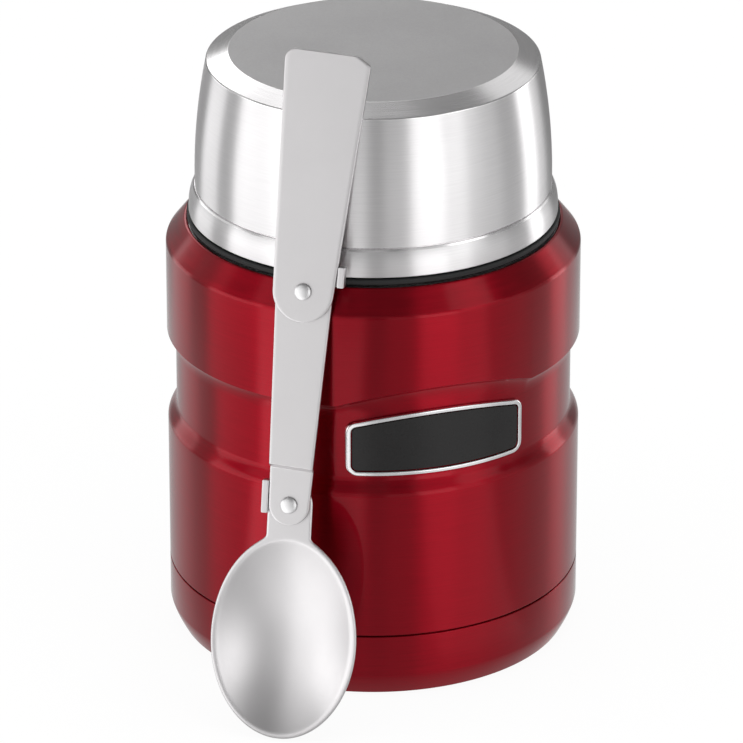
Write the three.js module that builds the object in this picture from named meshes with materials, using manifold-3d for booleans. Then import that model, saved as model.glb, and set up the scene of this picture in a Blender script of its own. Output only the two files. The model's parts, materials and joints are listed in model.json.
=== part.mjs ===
// Vacuum food jar with a screw stopper, a screw cup over it and a folding spoon that leans on its front.
// Millimetres, +Z up. The origin is the centre of the jar's underside and the badge faces -Y.

import * as THREE from 'three';
import { mergeVertices } from 'three/addons/utils/BufferGeometryUtils.js';
import Module from 'manifold-3d';

const wasm = await Module();
wasm.setup();

// Walls and fits
const steelWall = 0.6;
const plasticWall = 1.5;
const fitGap = 0.3; // between a piece and its seat
const threadGap = 0.35; // between the crest of one thread and the root of the other
const cutOverrun = 1; // how far a cutting shape passes the face that it cuts

// Jar body, from the table up
const bodyRadius = 47;
const waistDepth = 2;
const baseHeight = 15.1; // painted base cap, up to the fine seam
const footInset = 2.4;
const footHeight = 5.5;
const footBowShare = 0.4; // share of the foot's inset that is left half way up it
const lowerBandHeight = 34.5;
const lowerRampHeight = 4.4;
const waistHeight = 13.6;
const upperRampHeight = 4.1;
const upperBandHeight = 21.7;
const shoulderHeight = 5.5;
const shoulderInset = 4.4;
const shellSkirtDrop = 7; // how far the outer shell reaches down inside the base cap

// Arch of the waist over the badge
const archHeight = 4.1;
const archHalfAngle = 29.5; // degrees on each side of the badge's middle

// Badge: a plain plate in a frame, curved round the waist
const badgeWidth = 41.6;
const badgeHeight = 12.4; // at its sides
const badgeArch = 2.9; // how far its upper edge rises in the middle
const badgeBorder = 1;
const badgeCorner = 2.4;
const badgePlateDepth = 0.5;
const badgeFrameDepth = 0.8;
const badgeRise = 0.6; // from the foot of the waist to the badge's lower edge

// Vacuum space
const neckFlangeDrop = 0.65; // the neck's flange lies this far below the shoulder's top
const lipThickness = 0.6;
const vacuumGap = 1.5; // between the foil and the waist of the outer shell
const foilThickness = 0.4;
const vesselShoulderHeight = 9;
const vesselFloorRise = 3.4; // from the underside of the shell floor to the vessel's underside
const vesselCorner = 8;
const floorRim = 3;
const floorDome = 1;
const floorDomeRadius = 20;
const sealRadius = 1.5;
const sealHeadRadius = 2.6;
const sealHeadHeight = 0.8;
const getterRadius = 4;
const getterHeight = 1.1;
const getterOffset = 18; // from the jar's middle

// Threads: right-handed, three starts
const threadStarts = 3;
const threadPitch = 4;
const threadHeight = 1.1;
const threadRootWidth = 1.8;
const threadCrestWidth = 1;
const threadSink = 0.4; // how far a ridge reaches into the wall that it grows from
const threadSweep = 190; // degrees round the axis for each start
const threadSeatDrop = 1.5; // how far an inner thread's ridges sit below the ones that they hold
const neckThreadRise = 4.5; // from the shoulder's top to the foot of the neck's thread
const capThreadRise = 3.2; // from the cap's lower edge to the foot of its outer thread

// Stopper
const capSkirtRise = 0.7; // lower edge above the shoulder's top
const gasketThickness = 1;
const gasketWidth = 2.9;
const plugGap = 0.8; // between the plug and the jar's mouth
const plugDepth = 20.7; // from the lip down to the plug's underside
const plugFlange = 1.7;
const wellDepth = 6;
const wellRimInset = 1.2;
const gripRibs = 24;
const gripRibHeight = 0.8;
const gripRibWidth = 2;
const clipWidth = 8;
const clipThickness = 1.6;
const clipHeight = 4.5;
const clipSpacing = 36; // between the middles of the two clips

// Cup that covers the stopper
const cupHeight = 38;
const cupRise = 1.75; // from the shoulder's top to the steel's lower edge
const cupStep = 0.85; // how far the steel's lower edge stands inside the shoulder's lip
const cupBandHeight = 4.6;
const cupGrooveHeight = 6.2; // from the steel's lower edge to the groove
const cupGrooveDepth = 1.35;
const cupTaper = 4.25; // from the steel's lower edge in to the foot of its bevel
const cupBevelHeight = 2.1;
const cupBevelWidth = 5;
const cupWallBulge = 0.8;
const cupThreadZone = 14.4;
const cupThreadInset = 3.85; // from the steel's lower edge in to the root of the liner's thread
const foldedSpoonSpace = 8.25; // from the rim of the stopper's well up to the cup's top
const linerWall = 1.2;
const flangeHeight = 1.35;
const flangeOverhang = 0.25; // how far the flange stays inside the steel's lower edge
const sealGrooveWidth = 2.2;
const sealGrooveInset = 0.9;
const sealThickness = 0.9;
const sealProud = 0.45; // how far the ring stands below the flange

// Folding spoon, measured along its own plate: x across, y up from the tip, z towards the front
const spoonBearing = -31.3; // degrees from the badge's bearing to the spoon's face
const spoonLean = 15; // degrees
const spoonOffset = -6.6; // across, from the jar's middle
const spoonFloorGap = 0.6;
const spoonSheet = 1;
const bowlHalfWidth = 16.5;
const bowlTipLength = 22.4;
const bowlNeckLength = 23.6;
const bowlDepth = 6.4;
const bowlSheet = 0.9;
const tangHalfWidth = 4.8;
const tangFootShare = 0.95; // where the tang starts, as a share of the bowl's length above its middle
const tangReach = 7.2; // from the bowl's upper rim to its rivet
const rivetSpacing = 48.2;
const rivetRadius = 1.5;
const rivetHeadRadius = 2.1;
const rivetDome = 0.8;
const rivetBackHead = 0.5;
const linkHalfWidth = 4.7;
const linkTopHalfWidth = 6.4;
const linkTurn = -1.4; // degrees, the link's own slant in the plate
const joggleRise = 8.6; // from the bowl rivet to the joggle's foot
const joggleLength = 2.6;
const handleTurn = -3.2; // degrees, the handle's own slant in the plate
const handleReach = 53; // from the handle rivet to the handle's end
const handleHalfWidth = 6.8;
const handleTopHalfWidth = 9.7;
const handleCorner = 2.4;
const handleChamfer = 3.2;
const handleChamferDrop = 1.8;
const stopTabThickness = 1.1;
const bowlTabDrop = 2.2;
const bowlTabLength = 7.4;
const handleTabRise = 1.6;
const handleTabLength = 4.6;

// How finely the round pieces are divided
const shellSides = 60;
const roundSides = 48;
const rivetSides = 20;
const bowlSides = 32;
const ridgeSteps = 20;

// Heights that follow
const seamHeight = baseHeight;
const shellFoot = seamHeight + fitGap;
const shellBottom = seamHeight - shellSkirtDrop;
const lowerBandTop = seamHeight + lowerBandHeight;
const waistFoot = lowerBandTop + lowerRampHeight;
const waistTop = waistFoot + waistHeight;
const shoulderFoot = waistTop + upperRampHeight + upperBandHeight;
const shoulderTop = shoulderFoot + shoulderHeight;
const neckFlangeTop = shoulderTop - neckFlangeDrop;
const vesselFoot = shellBottom + vesselFloorRise;
const vesselNeckFoot = neckFlangeTop - steelWall - 2 * fitGap;
const vesselShoulder = vesselNeckFoot - vesselShoulderHeight;
const cupFoot = shoulderTop + cupRise;
const cupTop = cupFoot + cupHeight;
const bevelFoot = cupTop - cupBevelHeight;
const capFoot = shoulderTop + capSkirtRise;
const capTop = cupTop - foldedSpoonSpace;
const capFloor = capTop - wellDepth;
const capCeiling = capFloor - plasticWall;
const plugTop = capCeiling - fitGap;
const plugFlangeFoot = plugTop - plugFlange;
const gasketTop = plugFlangeFoot - fitGap;
const gasketFoot = gasketTop - gasketThickness;
const lipTop = gasketFoot - fitGap;
const lipFoot = lipTop - lipThickness;
const neckTop = lipFoot - fitGap;
const plugFoot = lipTop - plugDepth;
const neckThreadFoot = shoulderTop + neckThreadRise;
const capThreadFoot = capFoot + capThreadRise;
const bowlRivetHeight = bowlTipLength + bowlNeckLength + tangReach;

// Radii that follow
const waistRadius = bodyRadius - waistDepth;
const skirtRadius = bodyRadius - steelWall - fitGap;
const shoulderRadius = bodyRadius - shoulderInset;
const cupLowerRadius = shoulderRadius - cupStep;
const cupBevelRadius = cupLowerRadius - cupTaper;
const cupDiscRadius = cupBevelRadius - cupBevelWidth;
const linerThreadRoot = cupLowerRadius - cupThreadInset;
const cupThreadCrest = linerThreadRoot - threadGap;
const capOuter = cupThreadCrest - threadHeight;
const capInner = capOuter - plasticWall;
const wellRimOuter = capOuter - wellRimInset;
const threadCrest = capInner - threadGap;
const neckOuter = threadCrest - threadHeight;
const neckInner = neckOuter - steelWall;
const vesselNeckOuter = neckInner - fitGap;
const mouthRadius = vesselNeckOuter - steelWall;
const plugRadius = mouthRadius - plugGap;
const plugInner = plugRadius - plasticWall;
const gasketInner = plugRadius + fitGap;
const foilOuter = waistRadius - steelWall - vacuumGap;
const foilInner = foilOuter - foilThickness;
const vesselOuter = foilInner - fitGap;

const radians = (degrees) => THREE.MathUtils.degToRad(degrees);

// Colours and finishes
const finish = (colour, roughness, metalness) => new THREE.MeshStandardMaterial({ color: colour, roughness, metalness });
const redPaint = finish(0xa3121f, 0.28, 0.45);
const brushedSteel = finish(0xc6c5c3, 0.38, 1);
const vesselSteel = finish(0xb9babc, 0.45, 1);
const spoonSteel = finish(0xcfcecd, 0.32, 1);
const blackPlastic = finish(0x1d1e1e, 0.55, 0);
const paleFoam = finish(0xe9e4d2, 0.95, 0);
const greySilicone = finish(0x3a3c3d, 0.8, 0);
const badgeBlack = finish(0x161718, 0.3, 0);
const badgeSilver = finish(0xdcdcde, 0.25, 0.9);
const foilMetal = finish(0xd2d2cf, 0.3, 1);
const brazeMetal = finish(0xb08d4f, 0.5, 1);
const getterMetal = finish(0x6d6f71, 0.7, 0.8);

// Six times the volume inside a closed mesh: negative where its faces point inwards
function signedVolume(numbers, corners) {
  const [a, b, c] = [new THREE.Vector3(), new THREE.Vector3(), new THREE.Vector3()];
  let total = 0;
  for (let i = 0; i < corners.length; i += 3) {
    a.fromArray(numbers, corners[i] * 3);
    b.fromArray(numbers, corners[i + 1] * 3);
    c.fromArray(numbers, corners[i + 2] * 3);
    total += a.dot(b.cross(c));
  }
  return total;
}

// A closed geometry as a solid that can be joined and cut, with its faces pointing out
function toSolid(geometry) {
  const bare = geometry.clone();
  bare.deleteAttribute('normal');
  bare.deleteAttribute('uv');
  const merged = mergeVertices(bare);
  const numbers = new Float32Array(merged.attributes.position.array);
  const corners = Array.from(merged.index.array);
  const insideOut = signedVolume(numbers, corners) < 0;
  const faces = [];
  for (let i = 0; i < corners.length; i += 3) {
    const [a, b, c] = corners.slice(i, i + 3);
    if (a !== b && b !== c && a !== c) faces.push(a, insideOut ? c : b, insideOut ? b : c);
  }
  return new wasm.Manifold(new wasm.Mesh({
    numProp: 3,
    vertProperties: numbers,
    triVerts: new Uint32Array(faces),
  }));
}

const joined = (first, others) => others.reduce((sum, other) => sum.add(other), first);

// Geometry from a flat list of coordinates and a flat list of corner numbers
function fromLists(positions, faces) {
  const geometry = new THREE.BufferGeometry();
  geometry.setAttribute('position', new THREE.Float32BufferAttribute(positions, 3));
  geometry.setIndex(faces);
  return geometry;
}

// A named mesh made of a solid
function piece(name, solid, material) {
  const cut = solid.getMesh();
  const geometry = fromLists(cut.vertProperties, Array.from(cut.triVerts));
  geometry.computeVertexNormals();
  const mesh = new THREE.Mesh(geometry, material);
  mesh.name = name;
  return mesh;
}

// An outline of [radius, height] points turned round the Z axis
function revolve(outline, sides = roundSides) {
  const points = outline.map(([radius, height]) => new THREE.Vector2(radius, height));
  const endsOnAxis = outline[0][0] === 0 && outline.at(-1)[0] === 0;
  if (!endsOnAxis) points.push(points[0].clone());
  const geometry = new THREE.LatheGeometry(points, sides);
  geometry.rotateX(Math.PI / 2);
  return toSolid(geometry);
}

// A ring of rectangular section
const ring = (inner, outer, foot, top, sides = roundSides) => revolve(
  [[inner, foot], [outer, foot], [outer, top], [inner, top]], sides);

// An outline moved to its left by a wall's thickness, with mitred corners
function inset(outline, thickness) {
  const leftOf = ([r0, z0], [r1, z1]) => new THREE.Vector2(z0 - z1, r1 - r0).normalize();
  return outline.map(([radius, height], i) => {
    const from = Math.max(i, 1);
    const before = leftOf(outline[from - 1], outline[from]);
    const to = Math.min(i + 1, outline.length - 1);
    const after = leftOf(outline[to - 1], outline[to]);
    const stretch = thickness / (1 + before.dot(after));
    const movedHeight = height + (before.y + after.y) * stretch;
    return radius === 0 ? [0, movedHeight] : [radius + (before.x + after.x) * stretch, movedHeight];
  });
}

// A plain box between two corners
function block([x0, y0, z0], [x1, y1, z1]) {
  const geometry = new THREE.BoxGeometry(x1 - x0, y1 - y0, z1 - z0);
  geometry.translate((x0 + x1) / 2, (y0 + y1) / 2, (z0 + z1) / 2);
  return toSolid(geometry);
}

// A flat shape in X and Y given a thickness from one height to another
function plate(shape, foot, top) {
  const options = { depth: top - foot, bevelEnabled: false, curveSegments: roundSides / 4 };
  const geometry = new THREE.ExtrudeGeometry(shape, options);
  geometry.translate(0, 0, foot);
  return toSolid(geometry);
}

// Thread ridges: each start climbs a helix, its section narrowing from root to crest
function threadRidges(rootRadius, crestRadius, foot) {
  const outward = Math.sign(crestRadius - rootRadius);
  const sunk = rootRadius - outward * threadSink;
  const section = [
    [sunk, -threadRootWidth / 2],
    [crestRadius, -threadCrestWidth / 2],
    [crestRadius, threadCrestWidth / 2],
    [sunk, threadRootWidth / 2],
  ];
  const corners = section.length;
  const ridges = [];
  for (let start = 0; start < threadStarts; start += 1) {
    const positions = [];
    const faces = [];
    for (let step = 0; step <= ridgeSteps; step += 1) {
      const turned = radians(threadSweep) * (step / ridgeSteps);
      const angle = turned + (2 * Math.PI * start) / threadStarts;
      const height = foot + (threadPitch * threadStarts * turned) / (2 * Math.PI);
      for (const [radius, rise] of section) {
        positions.push(radius * Math.sin(angle), -radius * Math.cos(angle), height + rise);
      }
    }
    for (let step = 0; step < ridgeSteps; step += 1) {
      for (let corner = 0; corner < corners; corner += 1) {
        const a = step * corners + corner;
        const b = step * corners + ((corner + 1) % corners);
        faces.push(a, b, b + corners, a, b + corners, a + corners);
      }
    }
    const last = ridgeSteps * corners;
    faces.push(0, 2, 1, 0, 3, 2, last, last + 1, last + 2, last, last + 2, last + 3);
    ridges.push(toSolid(fromLists(positions, faces)));
  }
  return ridges;
}

// Height that the badge's arch adds to the waist's upper edge at a bearing in degrees
const archLift = (bearing) => archHeight * Math.max(0, 1 - (bearing / archHalfAngle) ** 2);

// Outside of the shell at one bearing, from its skirt up to the shoulder's lip. The lower ramp is a soft S and
// the upper one a quarter ellipse that ends in a crisp edge.
function shellOutside(bearing) {
  const lowerShares = [0.25, 0.5, 0.75, 1];
  const upperShares = [0, 0.4, 0.7, 0.9, 1];
  const lowerRamp = lowerShares.map((share) => [
    bodyRadius - waistDepth * share * share * (3 - 2 * share),
    lowerBandTop + lowerRampHeight * share,
  ]);
  const upperRamp = upperShares.map((share) => [
    bodyRadius - waistDepth * Math.sqrt(1 - share * share),
    waistTop + archLift(bearing) + upperRampHeight * share,
  ]);
  return [
    [skirtRadius, shellBottom],
    [skirtRadius, shellFoot],
    [bodyRadius, shellFoot],
    [bodyRadius, lowerBandTop],
    ...lowerRamp,
    ...upperRamp,
    [bodyRadius, shoulderFoot],
    [shoulderRadius, shoulderTop],
  ];
}

// The painted shell: its section changes with the bearing, so its sections are joined one to the next
function outerShell() {
  const positions = [];
  const faces = [];
  const count = 2 * shellOutside(0).length;
  for (let side = 0; side < shellSides; side += 1) {
    const turn = (2 * Math.PI * side) / shellSides;
    const bearing = THREE.MathUtils.radToDeg(turn > Math.PI ? turn - 2 * Math.PI : turn);
    const outside = shellOutside(bearing);
    for (const [radius, height] of [...outside, ...inset(outside, steelWall).reverse()]) {
      positions.push(radius * Math.sin(turn), -radius * Math.cos(turn), height);
    }
    const next = (side + 1) % shellSides;
    for (let row = 0; row < count; row += 1) {
      const above = (row + 1) % count;
      const [a, b] = [side * count + row, next * count + row];
      const [c, d] = [next * count + above, side * count + above];
      faces.push(a, b, c, a, c, d);
    }
  }
  return toSolid(fromLists(positions, faces));
}

function baseCap() {
  const outside = [
    [0, 0],
    [bodyRadius - footInset, 0],
    [bodyRadius - footInset * footBowShare, footHeight / 2],
    [bodyRadius, footHeight],
    [bodyRadius, seamHeight],
  ];
  return revolve([...outside, ...inset(outside, steelWall).reverse()], shellSides);
}

// Dished floor that closes the vacuum space, with the pumping hole in its raised middle
function shellFloor() {
  const rimRadius = skirtRadius - steelWall - fitGap;
  const underside = [
    [sealRadius + fitGap, shellBottom + floorDome],
    [floorDomeRadius, shellBottom],
    [rimRadius, shellBottom],
    [rimRadius, shellBottom + floorRim],
  ];
  return revolve([...underside, ...inset(underside, steelWall).reverse()]);
}

// Solder seal that closes the pumping hole from below
function vacuumSeal() {
  const headTop = shellBottom + floorDome - fitGap;
  const top = shellBottom + floorDome + steelWall;
  return revolve([
    [0, headTop - sealHeadHeight],
    [sealHeadRadius, headTop - sealHeadHeight],
    [sealHeadRadius, headTop],
    [sealRadius, headTop],
    [sealRadius, top],
    [0, top],
  ], rivetSides);
}

function getter() {
  const shape = new THREE.CylinderGeometry(getterRadius, getterRadius, getterHeight, rivetSides);
  shape.rotateX(Math.PI / 2);
  shape.translate(getterOffset, 0, vesselFoot - fitGap - getterHeight / 2);
  return toSolid(shape);
}

// Vacuum vessel that holds the food: a deep can with a narrower neck and a turned-out lip
function innerVessel() {
  const bendAngles = [0, 30, 60, 90];
  const bend = bendAngles.map((degrees) => [
    vesselOuter - vesselCorner * (1 - Math.sin(radians(degrees))),
    vesselFoot + vesselCorner * (1 - Math.cos(radians(degrees))),
  ]);
  const outside = [
    [0, vesselFoot],
    ...bend,
    [vesselOuter, vesselShoulder],
    [vesselNeckOuter, vesselNeckFoot],
    [vesselNeckOuter, lipFoot],
  ];
  const lip = [[neckOuter, lipFoot], [neckOuter, lipTop], [mouthRadius, lipTop]];
  return revolve([...outside, ...lip, ...inset(outside, steelWall).slice(0, -1).reverse()]);
}

// Bare steel neck with the male thread, seated inside the shoulder's lip
function threadedNeck() {
  const flangeRadius = shoulderRadius - steelWall;
  const wall = revolve([
    [neckOuter, neckTop],
    [neckInner, neckTop],
    [neckInner, neckFlangeTop - steelWall],
    [flangeRadius, neckFlangeTop - steelWall],
    [flangeRadius, neckFlangeTop],
    [neckOuter, neckFlangeTop],
  ]);
  return joined(wall, threadRidges(neckOuter, threadCrest, neckThreadFoot));
}

// Outline of the badge, smaller by a margin all round: straight sides and foot under an arched top
function badgeOutline(margin) {
  const side = badgeWidth / 2 - margin;
  const inner = side - badgeCorner;
  const middle = badgeHeight + badgeArch - margin;
  const fall = badgeArch / (badgeWidth / 2) ** 2;
  const topAt = (x) => middle - fall * x * x;
  const shape = new THREE.Shape();
  shape.moveTo(-inner, margin);
  shape.lineTo(inner, margin);
  shape.quadraticCurveTo(side, margin, side, margin + badgeCorner);
  shape.lineTo(side, topAt(side) - badgeCorner);
  shape.quadraticCurveTo(side, topAt(side), inner, topAt(inner));
  shape.quadraticCurveTo(0, middle + fall * inner * inner, -inner, topAt(inner));
  shape.quadraticCurveTo(-side, topAt(side), -side, topAt(side) - badgeCorner);
  shape.lineTo(-side, margin + badgeCorner);
  shape.quadraticCurveTo(-side, margin, -inner, margin);
  return shape;
}

// The part of a ring round the waist that lies behind an upright shape on the jar's front
function wrapped(shape, depth) {
  const foot = waistFoot + badgeRise;
  const inner = waistRadius + fitGap;
  const band = ring(inner, inner + depth, foot - cutOverrun, foot + badgeHeight + badgeArch + cutOverrun, shellSides * 2);
  const options = { depth: bodyRadius, bevelEnabled: false, curveSegments: 6 };
  const geometry = new THREE.ExtrudeGeometry(shape, options);
  geometry.rotateX(Math.PI / 2);
  geometry.translate(0, 0, foot);
  return band.intersect(toSolid(geometry));
}

const badgePlate = () => wrapped(badgeOutline(badgeBorder + fitGap), badgePlateDepth);

function badgeFrame() {
  const shape = badgeOutline(0);
  shape.holes.push(badgeOutline(badgeBorder));
  return wrapped(shape, badgeFrameDepth);
}

// Stopper cap: a skirt with threads inside and outside, and a well on top that holds the folded spoon
function stopperCap() {
  const body = revolve([
    [0, capCeiling],
    [capInner, capCeiling],
    [capInner, capFoot],
    [capOuter, capFoot],
    [capOuter, capFloor],
    [wellRimOuter, capFloor],
    [wellRimOuter, capTop],
    [wellRimOuter - plasticWall, capTop],
    [wellRimOuter - plasticWall, capFloor],
    [0, capFloor],
  ]);
  const ribs = [];
  for (let rib = 0; rib < gripRibs; rib += 1) {
    const ridge = new THREE.CylinderGeometry(gripRibWidth / 2, gripRibWidth / 2, wellDepth - 2 * fitGap, 6);
    ridge.rotateX(Math.PI / 2);
    ridge.translate(0, wellRimOuter + gripRibHeight - gripRibWidth / 2, capFloor + wellDepth / 2);
    ridge.rotateZ((2 * Math.PI * rib) / gripRibs);
    ribs.push(toSolid(ridge));
  }
  const clips = [-1, 1].map((side) => block(
    [-clipWidth / 2, (side * clipSpacing - clipThickness) / 2, capFloor - plasticWall / 2],
    [clipWidth / 2, (side * clipSpacing + clipThickness) / 2, capFloor + clipHeight],
  ));
  const male = threadRidges(capOuter, cupThreadCrest, capThreadFoot);
  const female = threadRidges(capInner, neckOuter + threadGap, neckThreadFoot - threadSeatDrop);
  return joined(body, [...ribs, ...clips, ...male, ...female]);
}

function stopperPlug() {
  const flange = capInner - fitGap;
  return revolve([
    [0, plugFoot],
    [plugRadius, plugFoot],
    [plugRadius, plugFlangeFoot],
    [flange, plugFlangeFoot],
    [flange, plugTop],
    [plugInner, plugTop],
    [plugInner, plugFoot + plasticWall],
    [0, plugFoot + plasticWall],
  ]);
}

function stopperFoam() {
  const foot = plugFoot + plasticWall + fitGap;
  const radius = plugInner - fitGap;
  return revolve([[0, foot], [radius, foot], [radius, plugTop], [0, plugTop]]);
}

// Outside of the steel cup, from its lower edge up to the middle of its flat top
function cupOutside() {
  const wallFoot = cupLowerRadius - cupGrooveDepth;
  const grooveTop = cupFoot + cupGrooveHeight;
  const turn = cupGrooveHeight - cupBandHeight;
  const wallShares = [0.06, 0.25, 0.5, 0.75, 0.93];
  const wall = wallShares.map((share) => [
    wallFoot + (cupBevelRadius - wallFoot) * share + 4 * cupWallBulge * share * (1 - share),
    grooveTop + (bevelFoot - grooveTop) * share,
  ]);
  return [
    [cupLowerRadius, cupFoot],
    [cupLowerRadius, cupFoot + cupBandHeight - turn / 2],
    [cupLowerRadius - cupGrooveDepth / 4, cupFoot + cupBandHeight + turn / 4],
    [wallFoot, grooveTop],
    ...wall,
    [cupBevelRadius, bevelFoot],
    [cupDiscRadius, cupTop],
    [0, cupTop],
  ];
}

const cupShell = () => revolve([...cupOutside(), ...inset(cupOutside(), steelWall).reverse()]);

// Underside of the liner's flange and the outer edge of the seal's groove in it
const flangeFoot = cupFoot - fitGap - flangeHeight;
const sealGrooveOuter = cupLowerRadius - flangeOverhang - sealGrooveInset;

// Plastic liner: the cup's inside, a flange below the steel's edge with the seal's groove, and the female thread
function cupLiner() {
  const outside = inset(cupOutside(), steelWall + fitGap);
  const bandRadius = outside[0][0];
  const flangeRadius = cupLowerRadius - flangeOverhang;
  const grooveTop = flangeFoot - sealProud + sealThickness + fitGap;
  const grooveInner = sealGrooveOuter - sealGrooveWidth;
  const zoneTop = cupFoot + cupThreadZone;
  const bowl = inset(outside, linerWall).filter(([, height]) => height > zoneTop);
  const body = revolve([
    [sealGrooveOuter, grooveTop],
    [sealGrooveOuter, flangeFoot],
    [flangeRadius, flangeFoot],
    [flangeRadius, flangeFoot + flangeHeight],
    [bandRadius, flangeFoot + flangeHeight],
    ...outside.slice(1),
    ...bowl.reverse(),
    [linerThreadRoot, zoneTop],
    [linerThreadRoot, flangeFoot],
    [grooveInner, flangeFoot],
    [grooveInner, grooveTop],
  ]);
  return joined(body, threadRidges(linerThreadRoot, capOuter + threadGap, capThreadFoot - threadSeatDrop));
}

const rimSeal = () => ring(sealGrooveOuter - sealGrooveWidth + fitGap, sealGrooveOuter - fitGap,
  flangeFoot - sealProud, flangeFoot - sealProud + sealThickness);

// Layers of the spoon, one sheet and a gap apart: tang, foot of the link, top of the link, handle
const layerTop = (layer) => layer * (spoonSheet + fitGap);
const layerFoot = (layer) => layerTop(layer) - spoonSheet;

// A dish worked out ring by ring from its middle to its rim, longer above its middle than below
function bowlDish() {
  const ringShares = [0.25, 0.5, 0.7, 0.85, 0.95, 1];
  const face = (drop) => {
    const points = [0, bowlTipLength, -bowlDepth - drop];
    for (const share of ringShares) {
      for (let side = 0; side < bowlSides; side += 1) {
        const angle = (2 * Math.PI * side) / bowlSides;
        const length = Math.sin(angle) < 0 ? bowlTipLength : bowlNeckLength;
        points.push(
          bowlHalfWidth * share * Math.cos(angle),
          bowlTipLength + length * share * Math.sin(angle),
          -bowlDepth * (1 - share * share) - drop,
        );
      }
    }
    return points;
  };
  const front = face(0);
  const behind = front.length / 3; // a front corner's number plus this is the back corner's number
  const rim = 1 + (ringShares.length - 1) * bowlSides;
  const faces = [];
  const quad = (a, b, c, d) => faces.push(a, b, c, a, c, d);
  for (let side = 0; side < bowlSides; side += 1) {
    const next = (side + 1) % bowlSides;
    faces.push(0, 1 + side, 1 + next, behind, behind + 1 + next, behind + 1 + side);
    for (let inner = 1; inner < rim; inner += bowlSides) {
      const outer = inner + bowlSides;
      quad(inner + side, outer + side, outer + next, inner + next);
      quad(behind + inner + side, behind + inner + next, behind + outer + next, behind + outer + side);
    }
    quad(rim + side, behind + rim + side, behind + rim + next, rim + next);
  }
  return toSolid(fromLists([...front, ...face(bowlSheet)], faces));
}

const rivetHole = (x, y) => {
  const hole = new THREE.Path();
  hole.absarc(x, y, rivetRadius + fitGap, 0, 2 * Math.PI);
  return hole;
};

// Bowl with its tang. The stop tab on the tang's left edge keeps the link from swinging that way.
function spoonBowl() {
  const tang = new THREE.Shape();
  const tangFoot = bowlTipLength + bowlNeckLength * tangFootShare;
  tang.moveTo(-tangHalfWidth, tangFoot);
  tang.lineTo(tangHalfWidth, tangFoot);
  tang.absarc(0, bowlRivetHeight, tangHalfWidth, 0, Math.PI);
  tang.holes.push(rivetHole(0, bowlRivetHeight));
  const tabInner = linkHalfWidth + fitGap;
  const tabOuter = tabInner + stopTabThickness;
  const tabFoot = bowlRivetHeight - bowlTabDrop;
  const tabTop = tabFoot + bowlTabLength;
  const tab = block([-tabOuter, tabFoot, layerFoot(0)], [-tabInner, tabTop, layerTop(1)]);
  const root = block([-tabOuter, tabFoot, layerFoot(0)], [-rivetRadius - 2 * fitGap, tabTop, layerTop(0)]);
  return joined(bowlDish(), [plate(tang, layerFoot(0), layerTop(0)), tab, root]);
}

// Half width of the handle at a height above its rivet
const handleEdge = (rise) => handleHalfWidth + ((handleTopHalfWidth - handleHalfWidth) * rise) / handleReach;

// Joggled link, with the bowl rivet at its origin. Its stop tab holds the handle's right edge.
function spoonLink() {
  const shape = new THREE.Shape();
  shape.absarc(0, 0, linkHalfWidth, Math.PI, 2 * Math.PI);
  shape.lineTo(linkHalfWidth, joggleRise);
  shape.absarc(0, rivetSpacing, linkTopHalfWidth, 0, Math.PI);
  shape.lineTo(-linkHalfWidth, joggleRise);
  shape.holes.push(rivetHole(0, 0), rivetHole(0, rivetSpacing));
  const reach = rivetSpacing + linkTopHalfWidth + cutOverrun;
  const joggleTop = joggleRise + joggleLength;
  const side = new THREE.Shape([
    new THREE.Vector2(-reach, layerFoot(1)),
    new THREE.Vector2(joggleRise, layerFoot(1)),
    new THREE.Vector2(joggleTop, layerFoot(2)),
    new THREE.Vector2(reach, layerFoot(2)),
    new THREE.Vector2(reach, layerTop(2)),
    new THREE.Vector2(joggleTop, layerTop(2)),
    new THREE.Vector2(joggleRise, layerTop(1)),
    new THREE.Vector2(-reach, layerTop(1)),
  ]);
  const profile = new THREE.ExtrudeGeometry(side, { depth: 2 * reach, bevelEnabled: false });
  profile.translate(0, 0, -reach);
  profile.applyMatrix4(new THREE.Matrix4().makeBasis(
    new THREE.Vector3(0, 1, 0), new THREE.Vector3(0, 0, 1), new THREE.Vector3(1, 0, 0)));
  const strip = plate(shape, layerFoot(1), layerTop(2)).intersect(toSolid(profile));
  const tabFoot = rivetSpacing + handleTabRise;
  const tabTop = tabFoot + handleTabLength;
  const tabReach = handleTabRise + handleTabLength;
  const tabInner = handleEdge(tabReach) + tabReach * Math.tan(radians(linkTurn - handleTurn)) + fitGap;
  const tabOuter = tabInner + stopTabThickness;
  const tab = block([tabInner, tabFoot, layerFoot(2)], [tabOuter, tabTop, layerTop(3)]);
  const root = block([rivetRadius + 2 * fitGap, tabFoot, layerFoot(2)], [tabOuter, tabTop, layerTop(2)]);
  return joined(strip, [tab, root]);
}

// Handle, with its rivet at its origin
function spoonHandle() {
  const shape = new THREE.Shape();
  const chamferFoot = handleReach - handleChamferDrop;
  shape.absarc(0, 0, handleHalfWidth, Math.PI, 2 * Math.PI);
  shape.lineTo(handleEdge(chamferFoot), chamferFoot);
  shape.lineTo(handleTopHalfWidth - handleChamfer, handleReach);
  shape.absarc(handleCorner - handleTopHalfWidth, handleReach - handleCorner, handleCorner, Math.PI / 2, Math.PI);
  shape.holes.push(rivetHole(0, 0));
  return plate(shape, layerFoot(3), layerTop(3));
}

// A rivet with a domed head in front of its upper sheet and a flat head behind its lower one
function rivet(lowerLayer, upperLayer) {
  const back = layerFoot(lowerLayer) - fitGap;
  const front = layerTop(upperLayer) + fitGap;
  const domeAngles = [60, 30, 0];
  const dome = domeAngles.map((degrees) => [
    rivetHeadRadius * Math.cos(radians(degrees)),
    front + rivetDome * Math.sin(radians(degrees)),
  ]);
  return revolve([
    [0, front + rivetDome],
    ...dome,
    [rivetRadius, front],
    [rivetRadius, back],
    [rivetHeadRadius, back],
    [rivetHeadRadius, back - rivetBackHead],
    [0, back - rivetBackHead],
  ], rivetSides);
}

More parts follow.
